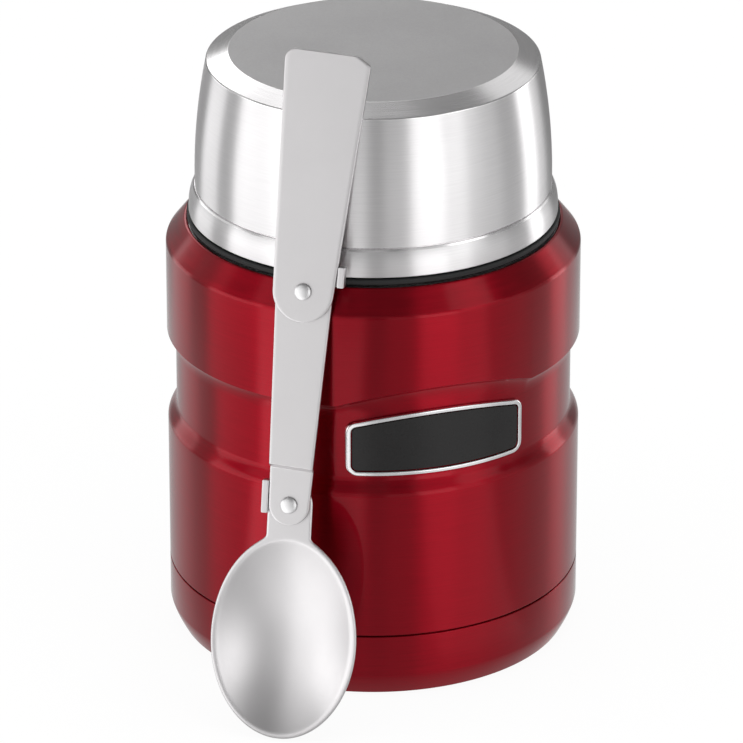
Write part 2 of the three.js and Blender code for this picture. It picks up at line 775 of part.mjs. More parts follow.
// How far from the jar's middle the spoon's tip stands when a layer of the spoon just clears an edge of the jar
function tipReach(layer, edgeRadius, edgeHeight) {
  const lean = radians(spoonLean);
  return edgeRadius + (edgeHeight - spoonFloorGap) * Math.tan(lean) - (layerFoot(layer) - fitGap) / Math.cos(lean);
}

// Frame of the spoon's plate: it leans back until it meets the cup's upper edge or the jar's shoulder
function spoonPlace() {
  const bearing = radians(spoonBearing);
  const lean = radians(spoonLean);
  const up = new THREE.Vector3(0, 0, 1);
  const level = new THREE.Vector3(Math.sin(bearing), -Math.cos(bearing), 0);
  const across = new THREE.Vector3(Math.cos(bearing), Math.sin(bearing), 0);
  const along = up.clone().multiplyScalar(Math.cos(lean)).addScaledVector(level, -Math.sin(lean));
  const front = level.clone().multiplyScalar(Math.cos(lean)).addScaledVector(up, Math.sin(lean));
  const reach = Math.max(tipReach(3, cupBevelRadius, bevelFoot), tipReach(2, bodyRadius, shoulderFoot));
  const tip = level.multiplyScalar(reach).addScaledVector(across, spoonOffset).addScaledVector(up, spoonFloorGap);
  return new THREE.Matrix4().makeBasis(across, along, front).setPosition(tip);
}

// A part of the assembly set up the plate of the part that carries it, and turned in that plate
function setUp(part, rise, degrees = 0) {
  part.position.y = rise;
  part.rotation.z = radians(degrees);
  return part;
}

// Each part of the folding spoon carries the next one, from the bowl up to the handle
const handle = setUp(piece('spoon_handle', spoonHandle(), spoonSteel), rivetSpacing, handleTurn - linkTurn);
const link = setUp(new THREE.Group(), bowlRivetHeight, linkTurn);
link.add(
  piece('spoon_link', spoonLink(), spoonSteel),
  setUp(piece('handle_rivet', rivet(2, 3), spoonSteel), rivetSpacing),
  handle,
);
const spoon = new THREE.Group();
spoon.applyMatrix4(spoonPlace());
spoon.add(
  piece('spoon_bowl', spoonBowl(), spoonSteel),
  setUp(piece('bowl_rivet', rivet(0, 1), spoonSteel), bowlRivetHeight),
  link,
);

const jar = new THREE.Group();
jar.name = 'insulated_food_jar';
jar.add(
  piece('base_cap', baseCap(), redPaint),
  piece('outer_shell', outerShell(), redPaint),
  piece('shell_floor', shellFloor(), vesselSteel),
  piece('vacuum_seal', vacuumSeal(), brazeMetal),
  piece('getter', getter(), getterMetal),
  piece('inner_vessel', innerVessel(), vesselSteel),
  piece('radiation_foil', ring(foilInner, foilOuter, vesselFoot + vesselCorner, vesselShoulder), foilMetal),
  piece('threaded_neck', threadedNeck(), brushedSteel),
  piece('badge_plate', badgePlate(), badgeBlack),
  piece('badge_frame', badgeFrame(), badgeSilver),
  piece('stopper_gasket', ring(gasketInner, gasketInner + gasketWidth, gasketFoot, gasketTop), greySilicone),
  piece('stopper_plug', stopperPlug(), blackPlastic),
  piece('stopper_foam', stopperFoam(), paleFoam),
  piece('stopper_cap', stopperCap(), blackPlastic),
  piece('rim_seal', rimSeal(), greySilicone),
  piece('cup_liner', cupLiner(), blackPlastic),
  piece('cup_shell', cupShell(), brushedSteel),
  spoon,
);

export default jar;
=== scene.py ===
"""Insulated food jar: a red lacquered vacuum jar, its screw stopper and steel cup, and a folding spoon.

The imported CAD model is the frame. Each piece here is a smooth surface that stands for one CAD node, made from
the sizes below and from the node's own box. Lengths are in metres, +Z is up and the badge faces -Y.
"""

import json
import math

import bpy
import numpy as np
from bpy.props import FloatProperty, FloatVectorProperty, PointerProperty
from mathutils import Euler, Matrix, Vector


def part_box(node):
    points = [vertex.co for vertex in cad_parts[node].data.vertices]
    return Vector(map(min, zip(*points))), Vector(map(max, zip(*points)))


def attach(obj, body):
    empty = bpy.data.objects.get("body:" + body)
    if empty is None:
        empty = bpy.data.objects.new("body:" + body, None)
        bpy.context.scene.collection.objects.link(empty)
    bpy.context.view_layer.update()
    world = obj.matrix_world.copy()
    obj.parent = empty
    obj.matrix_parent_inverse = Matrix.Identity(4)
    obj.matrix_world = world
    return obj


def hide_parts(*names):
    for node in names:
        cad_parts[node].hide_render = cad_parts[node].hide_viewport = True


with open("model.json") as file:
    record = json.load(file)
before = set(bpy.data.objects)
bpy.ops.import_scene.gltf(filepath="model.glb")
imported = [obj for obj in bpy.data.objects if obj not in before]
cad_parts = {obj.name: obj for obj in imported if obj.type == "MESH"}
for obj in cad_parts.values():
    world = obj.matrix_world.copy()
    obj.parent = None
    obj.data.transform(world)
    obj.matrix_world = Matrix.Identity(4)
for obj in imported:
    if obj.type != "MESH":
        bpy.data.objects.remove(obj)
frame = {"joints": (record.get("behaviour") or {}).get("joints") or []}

bl_info = {
    "name": "Insulated food jar",
    "version": (1, 0, 0),
    "blender": (4, 5, 0),
    "location": "View3D > Sidebar > Food jar",
    "description": "Makes a lacquered vacuum food jar with its stopper, cup and folding spoon",
    "category": "Add Mesh",
}

MM = 0.001
ROUND = 192  # steps round the jar
SMALL_ROUND = 48  # steps round a rivet or a pill
FIT = 0.3 * MM  # gap between a piece and its seat
SHELL_LIP = 0.375 * MM  # how far the shell's inner edge lies below the top of its shoulder
THREAD_DEPTH = 1.1 * MM
PLASTIC_WALL = 1.5 * MM
CREASE = math.radians(42)  # edges that turn by more than this stay crisp


# Sizes and colours that a user would change


def length(name, description, millimetres):
    return FloatProperty(name=name, description=description, default=millimetres * MM, precision=5,
                         unit="LENGTH")


def angle(name, description, degrees):
    return FloatProperty(name=name, description=description, default=math.radians(degrees), subtype="ANGLE")


def colour(name, description, default):
    return FloatVectorProperty(name=name, description=description, default=default, size=3, min=0, max=1,
                               subtype="COLOR")


class JarSizes(bpy.types.PropertyGroup):
    waist_depth: length("Waist depth", "How far the waist is set in", 2.0)
    foot_inset: length("Foot inset", "How far the foot draws in at the table", 2.4)
    foot_height: length("Foot height", "Height of the foot's bow", 5.5)
    lower_band_top: length("Lower band", "Height of the lower band's upper edge", 49.6)
    lower_ramp: length("Lower ramp", "Height of the soft step into the waist", 4.4)
    waist_top: length("Waist top", "Height of the waist's upper edge", 67.6)
    upper_ramp: length("Upper ramp", "Height of the step out of the waist", 4.1)
    shoulder_foot: length("Shoulder foot", "Height where the shoulder starts", 93.4)
    shoulder_inset: length("Shoulder inset", "How far the shoulder draws in", 4.4)
    arch_height: length("Arch height", "Rise of the waist over the badge", 4.1)
    arch_half_angle: angle("Arch half angle", "Bearing at which the arch ends", 29.5)
    wall: length("Wall", "Thickness of the steel", 0.6)


class BadgeSizes(bpy.types.PropertyGroup):
    width: length("Width", "Width of the badge", 41.6)
    height: length("Height", "Height of the badge at its sides", 12.4)
    arch: length("Arch", "Rise of its upper edge in the middle", 2.9)
    border: length("Border", "Width of the silver border", 1.0)
    corner: length("Corner", "Rounding of its corners", 2.4)


class CupSizes(bpy.types.PropertyGroup):
    groove_height: length("Groove height", "Height of the band, up to the groove above it", 6.2)
    groove_depth: length("Groove depth", "How far the wall is set in from the band", 1.35)
    bevel_radius: length("Bevel radius", "Radius at the foot of the bevel", 37.5)
    bevel_height: length("Bevel height", "Height of the bevel", 2.1)
    disc_radius: length("Disc radius", "Radius of the flat top", 32.5)
    bulge: length("Bulge", "How far the wall swells half way up", 0.8)
    liner: length("Liner", "Thickness of the plastic liner", 1.2)
    thread_zone: length("Thread zone", "Height of the liner's thickened foot", 14.4)
    thread_radius: length("Thread radius", "Radius at the root of the liner's thread", 37.9)


class SpoonSizes(bpy.types.PropertyGroup):
    sheet: length("Sheet", "Thickness of the link and handle", 1.0)
    bowl_sheet: length("Bowl sheet", "Thickness of the bowl and its tang", 0.9)
    bowl_half_width: length("Bowl half width", "Half the bowl's width", 16.5)
    bowl_tip: length("Bowl tip", "From the bowl's tip to its widest place", 22.4)
    bowl_neck: length("Bowl neck", "From its widest place to its upper end", 23.6)
    bowl_depth: length("Bowl depth", "Depth of the dish", 6.4)
    tang_half_width: length("Tang half width", "Half the tang's width", 4.8)
    tang_reach: length("Tang reach", "From the bowl's upper end to its rivet", 7.2)
    link_half_width: length("Link half width", "Half the link's width at its lower rivet", 4.55)
    link_top_half_width: length("Link top half width", "Half its width at its upper rivet", 6.4)
    handle_half_width: length("Handle half width", "Half the handle's width at its rivet", 6.8)
    handle_top_half_width: length("Handle top half width", "Half its width at its end", 9.7)
    handle_reach: length("Handle reach", "From its rivet to its end", 53.0)
    handle_turn: angle("Handle turn", "Slant of the handle in the spoon's plate", -3.2)


class Finishes(bpy.types.PropertyGroup):
    lacquer: colour("Lacquer", "Clear red lacquer over steel", (0.31, 0.0030, 0.0120))
    steel: colour("Steel", "Brushed steel of the cup", (0.885, 0.872, 0.878))
    spoon: colour("Spoon", "Satin steel of the spoon", (0.603, 0.590, 0.596))
    plastic: colour("Plastic", "Black plastic of the liner and stopper", (0.014, 0.015, 0.015))
    badge: colour("Badge", "Black field of the badge", (0.012, 0.0115, 0.0115))
    silver: colour("Silver", "Border of the badge", (0.80, 0.80, 0.81))
    silicone: colour("Silicone", "Gasket and seal", (0.05, 0.053, 0.054))
    foam: colour("Foam", "Foam inside the stopper", (0.80, 0.76, 0.64))


class StudioSettings(bpy.types.PropertyGroup):
    bearing: angle("Bearing", "Bearing of the camera from the badge", -19.3)
    tilt: angle("Tilt", "How far the camera looks down", 24.13)
    lens: FloatProperty(name="Lens", description="Focal length on a 36 mm frame", default=291.6,
                        unit="CAMERA")
    fill: FloatProperty(name="Fill", description="Level of the light from all round", default=0.75)
    key: FloatProperty(name="Key", description="Power of the lamp above", default=3.5)


# Outlines and surfaces


def foot(node_name):
    """Height of a node's lowest point."""
    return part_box(node_name)[0].z


def top(node_name):
    """Height of a node's highest point."""
    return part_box(node_name)[1].z


def radius(node_name):
    """How far a round node reaches from the axis."""
    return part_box(node_name)[1].x


def lengthwise(vectors):
    """The same vectors, each one unit long."""
    size = np.linalg.norm(vectors, axis=-1, keepdims=True)
    return vectors / np.where(size > 0, size, 1)


def softened(corners, closed=False, steps=6):
    """A path through corners (a, b, rounding), each one rounded by an arc of that radius.

    An arc starts rounding * tan(turn / 2) before its corner and ends as far after it. It is the conic
    ((1-s)^2 A + 2 w s (1-s) P + s^2 B) / ((1-s)^2 + 2 w s (1-s) + s^2) with w = cos(turn / 2), which is a
    circle's arc. A point just outside each end of the arc keeps the flats beside it flat.
    """
    corners = np.asarray(corners, float)
    places, rounding = corners[:, :2], corners[:, 2:]
    inward = lengthwise(places - np.roll(places, 1, axis=0))
    outward = lengthwise(np.roll(places, -1, axis=0) - places)
    turn = np.arccos(np.clip((inward * outward).sum(axis=1, keepdims=True), -1, 1))
    reach = rounding * np.tan(turn / 2)
    if not closed:
        reach[[0, -1]] = 0
    start = places - inward * reach
    end = places + outward * reach
    weight = np.cos(turn / 2)[:, None]
    s = np.linspace(0, 1, steps)[None, :, None]
    arc = (1 - s) ** 2 * start[:, None] + 2 * weight * s * (1 - s) * places[:, None] + s**2 * end[:, None]
    arc = arc / ((1 - s) ** 2 + 2 * weight * s * (1 - s) + s**2)
    margin = 0.06 * reach
    before, after = start - inward * margin, end + outward * margin
    path = np.concatenate([before[:, None], arc, after[:, None]], axis=1).reshape(-1, 2)
    step = np.linalg.norm(path - np.roll(path, 1, axis=0), axis=1)
    kept = step > 1e-7
    kept[0] = not closed or kept[0]
    return path[kept]


def moved_in(corners, distance):
    """The same corners a distance to the left of their path, mitred where it turns."""
    corners = np.array(corners, float)
    along = lengthwise(np.diff(corners[:, :2], axis=0))
    left = np.stack([-along[:, 1], along[:, 0]], axis=1)
    before = np.vstack([left[:1], left])
    after = np.vstack([left, left[-1:]])
    stretch = distance / (1 + (before * after).sum(axis=1, keepdims=True))
    axis = corners[:, 0] == 0
    corners[:, :2] += (before + after) * stretch
    corners[axis, 0] = 0
    return corners


def spaced(path, distance):
    """A closed path with its points set about evenly along its length."""
    loop = np.vstack([path, path[:1]])
    run = np.concatenate([[0], np.cumsum(np.linalg.norm(np.diff(loop, axis=0), axis=1))])
    at = np.linspace(0, run[-1], int(run[-1] / distance), endpoint=False)
    return np.stack([np.interp(at, run, loop[:, 0]), np.interp(at, run, loop[:, 1])], axis=1)


def around(reach, bearing, height):
    """Points (r sin t, -r cos t, z) from a distance r, a bearing t from the badge and a height z."""
    points = np.broadcast_arrays(reach * np.sin(bearing), -reach * np.cos(bearing), height)
    return np.stack(points, axis=-1)


def turned(path, columns=ROUND, wave=0):
    """A path of (r, z) turned round the axis: (r sin t, -r cos t, z). wave is added to the radius."""
    bearing = np.linspace(0, 2 * np.pi, columns, endpoint=False)
    return around(path[:, :1] + wave, bearing, path[:, 1:])


def solid_of(corners, columns=ROUND, steps=6):
    """A turned body whose path starts and ends on the axis."""
    return turned(softened(corners, steps=steps), columns), False, True


def ring_of(corners):
    """A turned ring whose section is a closed path."""
    return turned(softened(corners, closed=True)), True, True


def ring_in(node_name, wide, rounding):
    """A ring as tall and as far out as its node, with a rounded section this wide."""
    low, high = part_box(node_name)
    inner = high.x - wide
    section = [(inner, low.z), (high.x, low.z), (high.x, high.z), (inner, high.z)]
    return ring_of([(*corner, rounding) for corner in section])


def thread(root, crest, low):
    """Three ridges that climb a helix: height = low + 12 mm for each turn.

    The section is a rounded trapezoid from root to crest. It shrinks to a point over the first and last 12%
    of the sweep, by the square root of the share that is left, so a ridge runs out into its wall.
    """
    starts, climb, sweep, fade = 3, 12 * MM, math.radians(190), 0.12
    width, lip, edge, buried = 1.8 * MM, 1.0 * MM, 0.25 * MM, 0.4 * MM
    sunk = root - np.sign(crest - root) * buried
    section = softened([(sunk, -width / 2, 0), (crest, -lip / 2, edge), (crest, lip / 2, edge),
                        (sunk, width / 2, 0)], closed=True, steps=4)
    t = np.linspace(0, 1, 73)[:, None]
    swell = np.sqrt(np.clip(np.minimum(t, 1 - t) / fade, 0, 1))
    reach = sunk + (section[:, 0] - sunk) * swell
    turn = sweep * t
    height = low + climb * turn / (2 * np.pi) + section[:, 1] * swell
    bearings = [turn + 2 * np.pi * start / starts for start in range(starts)]
    return [(around(reach, bearing, height), False, True) for bearing in bearings]


def distance_to(x, y, outline):
    """Shortest distance from each point to a closed outline: the least over its sides."""
    start = outline[:, None, None]
    side = np.roll(outline, -1, axis=0)[:, None, None] - start
    to = np.stack([x, y], axis=-1)[None] - start
    along = np.clip((to * side).sum(axis=-1) / np.maximum((side**2).sum(axis=-1), 1e-18), 0, 1)
    return np.linalg.norm(to - side * along[..., None], axis=-1).min(axis=0)


def plate(edges, face, thickness, rounding, across=15):
    """A plate between a right and a left edge, both given as (x, y) from its foot up.

    A row runs across the plate at each height, in front from left to right and behind from right to left:
    x = middle + half width * u. Its points lie closest near the edges, by shares of the rounding.
    The front stands at face(x, y) and the back a thickness below it. Within the rounding of the outline both
    are drawn towards each other by r - sqrt(r^2 - (r - d)^2), d being the distance to the outline.
    """
    right, left = edges
    small = 1e-7
    y = np.unique(np.round(np.concatenate([right[:, 1], left[:, 1]]), 8))
    low, high = y[0], y[-1]
    y = np.union1d(y, np.arange(low, high, 0.8 * MM))
    y = y[np.append(True, np.diff(y) > 0.02 * MM)]
    y = np.clip(y, low + small, high - small)
    rims = np.array([0, 0.04, 0.15, 0.32, 0.6, 1.0]) * rounding
    u = 1 - rims / np.abs(right[:, 0]).max()
    u = np.concatenate([-u, np.linspace(-u[-1], u[-1], across + 2)[1:-1], u[::-1]])
    x_right = np.interp(y, right[:, 1], right[:, 0])[:, None]
    x_left = np.interp(y, left[:, 1], left[:, 0])[:, None]
    x = (x_left + x_right) / 2 + (x_right - x_left) / 2 * u
    rows = np.broadcast_to(y[:, None], x.shape)
    depth = np.clip(rounding - distance_to(x, rows, np.vstack([right, left[::-1]])), 0, None)
    drawn = rounding - np.sqrt(np.clip(rounding**2 - depth**2, 0, None))
    front = face(x, rows)
    ahead = np.stack([x, rows, front - drawn], axis=-1)
    behind = np.stack([x, rows, front - thickness + drawn], axis=-1)[:, ::-1]
    middle = np.stack([x, rows, front - thickness / 2], axis=-1)
    loop = np.concatenate([ahead, behind], axis=1)
    closing = np.concatenate([middle, middle[:, ::-1]], axis=1)
    return np.concatenate([closing[:1], loop, closing[-1:]]), False, True


def mirrored(right):
    """A right edge with its mirror image as the left edge."""
    return right, right * [-1, 1]


def flat(x, y):
    """A face at height 0."""
    return 0 * x


def block(size, corner, rounding, place, across=15):
    """A rounded block of (width, depth, height), whose top has its middle at a place."""
    w, h = size[0] / 2, size[1] / 2
    right = softened([(0, -h, 0), (w, -h, corner), (w, h, corner), (0, h, 0)], steps=8)
    points, *meets = plate(mirrored(right), flat, size[2], rounding, across)
    return points + place, *meets


def lower_arc(wide, tall, steps=24):
    """A quarter ellipse (w sin t, -h cos t) from straight below its middle to its right side."""
    t = np.linspace(0, np.pi / 2, steps)
    return np.stack([wide * np.sin(t), -tall * np.cos(t)], axis=1)


def upper_arc(wide, tall, steps=24):
    """A quarter ellipse (w cos t, h sin t) from its right side to straight above its middle."""
    t = np.linspace(0, np.pi / 2, steps)
    return np.stack([wide * np.cos(t), tall * np.sin(t)], axis=1)


def new_object(name, data):
    """An object at the origin, in the scene."""
    made = bpy.data.objects.new(name, data)
    bpy.context.scene.collection.objects.link(made)
    return made


def skin(name, *grids):
    """An object whose surface is one or more closed grids of points, each (points, rows meet, columns meet).

    Neighbouring points of a grid span a face, and the last row or column meets the first one where the grid
    says so. Points in one place become one corner, so a pole or an end that is drawn together is closed. A
    grid is turned over where the volume that it encloses, the sum of a . (b x c) / 6, comes out negative.
    """
    corners, quads, triangles = [], [], []
    base = 0
    for points, rows_meet, columns_meet in grids:
        rows, columns = points.shape[:2]
        row, column = np.meshgrid(np.arange(rows - (not rows_meet)), np.arange(columns - (not columns_meet)),
                                  indexing="ij")
        above, beside = (row + 1) % rows, (column + 1) % columns
        faces = np.stack([row * columns + column, row * columns + beside, above * columns + beside,
                          above * columns + column], axis=-1).reshape(-1, 4)
        places, number = np.unique(np.round(points.reshape(-1, 3), 8), axis=0, return_inverse=True)
        faces = number.ravel()[faces]
        a, b, c, d = (places[faces[:, k]] for k in range(4))
        volume = (a * np.cross(b, c)).sum() + (a * np.cross(c, d)).sum()
        if volume < 0:
            faces = faces[:, ::-1]
        apart = faces != np.roll(faces, -1, axis=1)
        count = apart.sum(axis=1)
        quads.append(faces[count == 4] + base)
        triangles.append(faces[count == 3][apart[count == 3]].reshape(-1, 3) + base)
        corners.append(places)
        base += len(places)
    mesh = bpy.data.meshes.new(name)
    faces = np.concatenate(quads).tolist() + np.concatenate(triangles).tolist()
    mesh.from_pydata(np.concatenate(corners), [], faces)
    mesh.shade_smooth()
    mesh.set_sharp_from_angle(angle=CREASE)
    return new_object(name, mesh)


def add_piece(name, grids, body, slot, node_name, *materials):
    """Makes a piece. It takes its materials, rides with its body and stands for its CAD node."""
    piece = skin(name, *grids)
    for material in materials:
        piece.data.materials.append(material)
    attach(piece, body)
    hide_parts(node_name)
    return piece


# Finishes


class Nodes:
    """The shader nodes of a material or a world, from an empty start."""

    def __init__(self, owner):
        owner.use_nodes = True
        self.tree = owner.node_tree
        self.tree.nodes.clear()

    def join(self, value, socket):
        """Links a socket to another one, or sets it to a value."""
        if isinstance(value, bpy.types.NodeSocket):
            self.tree.links.new(value, socket)
        else:
            socket.default_value = (*value, 1) if socket.type == "RGBA" else value

    def node(self, kind, inputs=(), **settings):
        """A shader node with its settings and its inputs."""
        made = self.tree.nodes.new("ShaderNode" + kind)
        for key, value in settings.items():
            setattr(made, key, value)
        for key, value in dict(inputs).items():
            self.join(value, made.inputs[key])
        return made

    def surface(self, shader, output="OutputMaterial"):
        self.tree.links.new(shader.outputs[0], self.node(output).inputs["Surface"])

    def maths(self, operation, first, second):
        return self.node("Math", {0: first, 1: second}, operation=operation).outputs[0]

    def ranged(self, value, low, high, to_low, to_high):
        """A value that runs from low to high, spread from to_low to to_high."""
        inputs = {"Value": value, "From Min": low, "From Max": high, "To Min": to_low, "To Max": to_high}
        return self.node("MapRange", inputs).outputs[0]

    def blended(self, factor, first, second):
        """A colour between two colours, each a value or a socket."""
        return self.node("Mix", {0: factor, 6: first, 7: second}, data_type="RGBA").outputs[2]


class Finish(Nodes):
    """A material with a Principled surface that is driven from the piece's own coordinates."""

    def __init__(self, name, metallic):
        self.material = bpy.data.materials.new(name)
        super().__init__(self.material)
        self.shader = self.node("BsdfPrincipled", {"Metallic": metallic})
        self.surface(self.shader)
        self.place = self.node("TexCoord").outputs["Object"]

    def put(self, **values):
        """Sets or joins the surface's sockets; a name's underscores stand for spaces."""
        for key, value in values.items():
            self.join(value, self.shader.inputs[key.replace("_", " ")])

    def noise(self, scale, detail=3.0, roughness=0.6, vector=None):
        inputs = {"Vector": vector or self.place, "Scale": scale, "Detail": detail, "Roughness": roughness}
        return self.node("TexNoise", inputs).outputs["Fac"]

    def bump(self, height, distance, strength):
        return self.node("Bump", {"Height": height, "Distance": distance, "Strength": strength}).outputs[0]

    def shades(self, value, tone, low, high):
        """Runs from low to high times the tone, while a noise runs from 0.3 to 0.7."""
        first, second = (tuple(min(1.0, share * part) for part in tone) for share in (low, high))
        return self.blended(self.ranged(value, 0.3, 0.7, 0.0, 1.0), first, second)

    def turned_lines(self, stretch):
        """Coordinates for the lines that a lathe leaves: x, y and stretch * (z + distance from the axis).

        They change slowly round the axis and quickly with height and radius.
        """
        parts = self.node("SeparateXYZ", {0: self.place}).outputs
        level = self.node("CombineXYZ", {0: parts[0], 1: parts[1]}).outputs[0]
        reach = self.node("VectorMath", {0: level}, operation="LENGTH").outputs["Value"]
        across = self.maths("MULTIPLY", self.maths("ADD", parts[2], reach), stretch)
        return self.node("CombineXYZ", {0: parts[0], 1: parts[1], 2: across}).outputs[0]

    def brush_round(self, shine):
        """Lets the shine spread up and down, across lines that run round the axis."""
        tangent = self.node("Tangent", direction_type="RADIAL", axis="Z").outputs[0]
        self.put(Tangent=tangent, Anisotropic=shine, Anisotropic_Rotation=0.25)


def lacquer_finish(finishes):
    """Clear red lacquer over steel that is brushed round the axis: fine lines below, a wet coat above."""
    made = Finish("red_lacquer", 1.0)
    red = tuple(finishes.lacquer)
    lines = made.noise(90.0, 4.0, vector=made.turned_lines(60))
    clouds = made.noise(26.0, 2.0)
    orange_peel = made.noise(420.0, 1.0)
    tone = made.blended(made.ranged(clouds, 0.3, 0.7, 0.0, 0.35), made.shades(lines, red, 0.86, 1.12), red)
    made.put(Base_Color=tone, Normal=made.bump(lines, 0.01 * MM, 0.35))
    made.put(Roughness=made.ranged(lines, 0.25, 0.75, 0.33, 0.38))
    made.put(Coat_Weight=1.0, Coat_Roughness=0.045, Coat_IOR=1.2)
    made.put(Coat_Normal=made.bump(orange_peel, 0.01 * MM, 0.12))
    made.brush_round(1.0)
    return made.material


def steel_finish(name, tone, stretch=75, rough=(0.34, 0.40), shine=1.0, relief=0.5):
    """Stainless steel brushed round the axis, its lines in colour, roughness and bump."""
    made = Finish(name, 1.0)
    lines = made.noise(100.0, 5.0, 0.65, made.turned_lines(stretch))
    haze = made.noise(22.0)
    lined, hazy = made.ranged(lines, 0.25, 0.75, *rough), made.ranged(haze, 0.3, 0.7, -0.02, 0.02)
    made.put(Base_Color=made.shades(lines, tone, 0.9, 1.0), Normal=made.bump(lines, 0.01 * MM, relief))
    made.put(Roughness=made.maths("ADD", lined, hazy))
    made.brush_round(shine)
    return made.material


def blasted_shaded_finish(tone):
    """The cup's flat top: fine bead-blasted steel, even and matt, with a faint grain. Its colour is the steel's
    at about half strength, a painted shade for the flat top, which sees less light than the sides.
    """
    made = Finish("blasted_shaded_steel", 1.0)
    grain = made.noise(2600.0, 2.0)
    # Painted shade: the top's colour is 0.46 to 0.50 of the steel tone, darker than the cup's sides
    made.put(Base_Color=made.shades(made.noise(30.0), tone, 0.46, 0.50))
    made.put(Normal=made.bump(grain, 0.04 * MM, 0.5), Roughness=made.ranged(grain, 0.2, 0.8, 0.56, 0.7))
    return made.material


def satin_finish(tone, turn):
    """Tumbled satin steel of the spoon, with faint scratches along its plate."""
    made = Finish("spoon_satin", 1.0)
    laid = made.node("Mapping", {"Vector": made.place, "Rotation": turn}).outputs[0]
    stretched = made.node("Mapping", {"Vector": laid, "Scale": (1.0, 0.05, 1.0)}).outputs[0]
    scratches = made.noise(1500.0, 4.0, 0.7, stretched)
    grain = made.noise(900.0)
    height = made.maths("ADD", scratches, made.maths("MULTIPLY", grain, 0.6))
    made.put(Base_Color=made.shades(made.noise(60.0), tone, 0.97, 1.0))
    made.put(Normal=made.bump(height, 0.02 * MM, 0.15), Roughness=made.ranged(grain, 0.3, 0.7, 0.38, 0.41))
    return made.material


def polished_finish(name, tone, rough):
    """Polished metal with a soft haze in its shine and its tone."""
    made = Finish(name, 1.0)
    haze = made.noise(300.0)
    made.put(Base_Color=made.shades(haze, tone, 0.9, 1.0), Normal=made.bump(haze, 0.004 * MM, 0.15))
    made.put(Roughness=made.ranged(haze, 0.3, 0.7, rough, rough + 0.08))
    return made.material


def moulded_finish(name, tone, rough=(0.42, 0.55), grain_scale=1800.0, depth=0.03 * MM, specular=0.5):
    """Moulded plastic or rubber: an even colour with a fine grain, slightly cloudy."""
    made = Finish(name, 0.0)
    grain = made.noise(grain_scale, 2.0)
    made.put(Base_Color=made.shades(made.noise(45.0), tone, 1.0, 1.25), Normal=made.bump(grain, depth, 0.6))
    made.put(Roughness=made.ranged(grain, 0.25, 0.75, *rough), Specular_IOR_Level=specular)
    return made.material


def foam_finish(tone):
    """Pale open foam: small rounded cells, with painted shade in the sunken pores between them."""
    made = Finish("pale_foam", 0.0)
    cells = made.node("TexVoronoi", {"Vector": made.place, "Scale": 900.0}).outputs["Distance"]
    pore_shade = made.ranged(cells, 0.1, 0.7, 0.0, 1.0)
    # Painted shade: the pores between the cells are darkened to 0.55 of the foam's tone
    made.put(Base_Color=made.blended(pore_shade, tuple(tone), tuple(0.55 * part for part in tone)))
    made.put(Normal=made.bump(cells, -0.3 * MM, 0.8), Roughness=0.95)
    return made.material


def foil_finish():
    """Bright aluminium foil with soft creases."""
    made = Finish("bright_foil", 1.0)
    voronoi = made.node("TexVoronoi", {"Vector": made.place, "Scale": 130.0}, feature="F2")
    wrinkle = made.noise(240.0)
    height = made.maths("ADD", voronoi.outputs["Distance"], made.maths("MULTIPLY", wrinkle, 0.5))
    tone = made.blended(made.ranged(wrinkle, 0.3, 0.7, 0.0, 1.0), (0.74, 0.74, 0.73), (0.84, 0.84, 0.82))
    made.put(Base_Color=tone, Normal=made.bump(height, 0.4 * MM, 0.6), Roughness=0.22)
    return made.material


# The jar's body


def shell_path(sizes):
    """Outside of the shell as (radius, height, share of the arch's rise).

    The lower ramp is the S curve r = R - d t^2 (3 - 2t). The upper ramp is the quarter ellipse
    r = R - d sqrt(1 - t^2), which ends in a crisp edge. The rise belongs to the upper ramp and its edge.
    """
    body = radius("base_cap")
    skirt = body - sizes.wall - FIT
    low, high = foot("outer_shell"), top("outer_shell")
    seam = top("base_cap") + FIT
    lower = np.linspace(0, 1, 22)
    lower_ramp = np.stack([body - sizes.waist_depth * lower**2 * (3 - 2 * lower),
                           sizes.lower_band_top + sizes.lower_ramp * lower], axis=1)
    upper = 1 - np.cos(np.linspace(0, np.pi / 2, 18))
    upper = np.sin(upper / upper[-1] * np.pi / 2)
    upper_ramp = np.stack([body - sizes.waist_depth * np.sqrt(1 - upper**2),
                           sizes.waist_top + sizes.upper_ramp * upper], axis=1)
    edge = 0.16 * MM
    upper_ramp = upper_ramp[upper_ramp[:, 0] < body - edge]
    edge_top = sizes.waist_top + sizes.upper_ramp
    upper_edge = lower_arc(edge, edge, 6) + [body - edge, edge_top + edge]
    foot_part = softened([(skirt, low, 0), (skirt, seam, 0.2 * MM), (body, seam, 0.35 * MM),
                          (body, sizes.lower_band_top - 2 * MM, 0)])
    shoulder = softened([(body, sizes.shoulder_foot - 3 * MM, 0), (body, sizes.shoulder_foot, 1.6 * MM),
                         (body - sizes.shoulder_inset, high, 0.6 * MM),
                         (body - sizes.shoulder_inset - 0.47 * MM, high - SHELL_LIP, 0)], steps=9)
    parts = [(foot_part, 0), (lower_ramp, 0), (upper_ramp, 1), (upper_edge, 1), (shoulder, 0)]
    return np.vstack([np.column_stack([part, np.full(len(part), rise)]) for part, rise in parts])


def shell_inside(sizes):
    """Inside of the shell from its shoulder down to its skirt, as (radius, height, share of the rise)."""
    body = radius("base_cap") - sizes.wall
    waist = body - sizes.waist_depth
    skirt = body - sizes.wall - FIT
    return np.array([
        (body - sizes.shoulder_inset + 0.13 * MM, top("outer_shell") - SHELL_LIP, 0),
        (body, sizes.shoulder_foot - 0.36 * MM, 0),
        (body, sizes.waist_top + sizes.upper_ramp + 0.6 * MM, 1),
        (waist, sizes.waist_top + 0.4 * MM, 1),
        (waist, sizes.lower_band_top + sizes.lower_ramp, 0),
        (body, sizes.lower_band_top, 0),
        (body, top("base_cap") + 1.0 * MM, 0),
        (skirt, top("base_cap") + 0.4 * MM, 0),
        (skirt, foot("outer_shell"), 0),
    ])


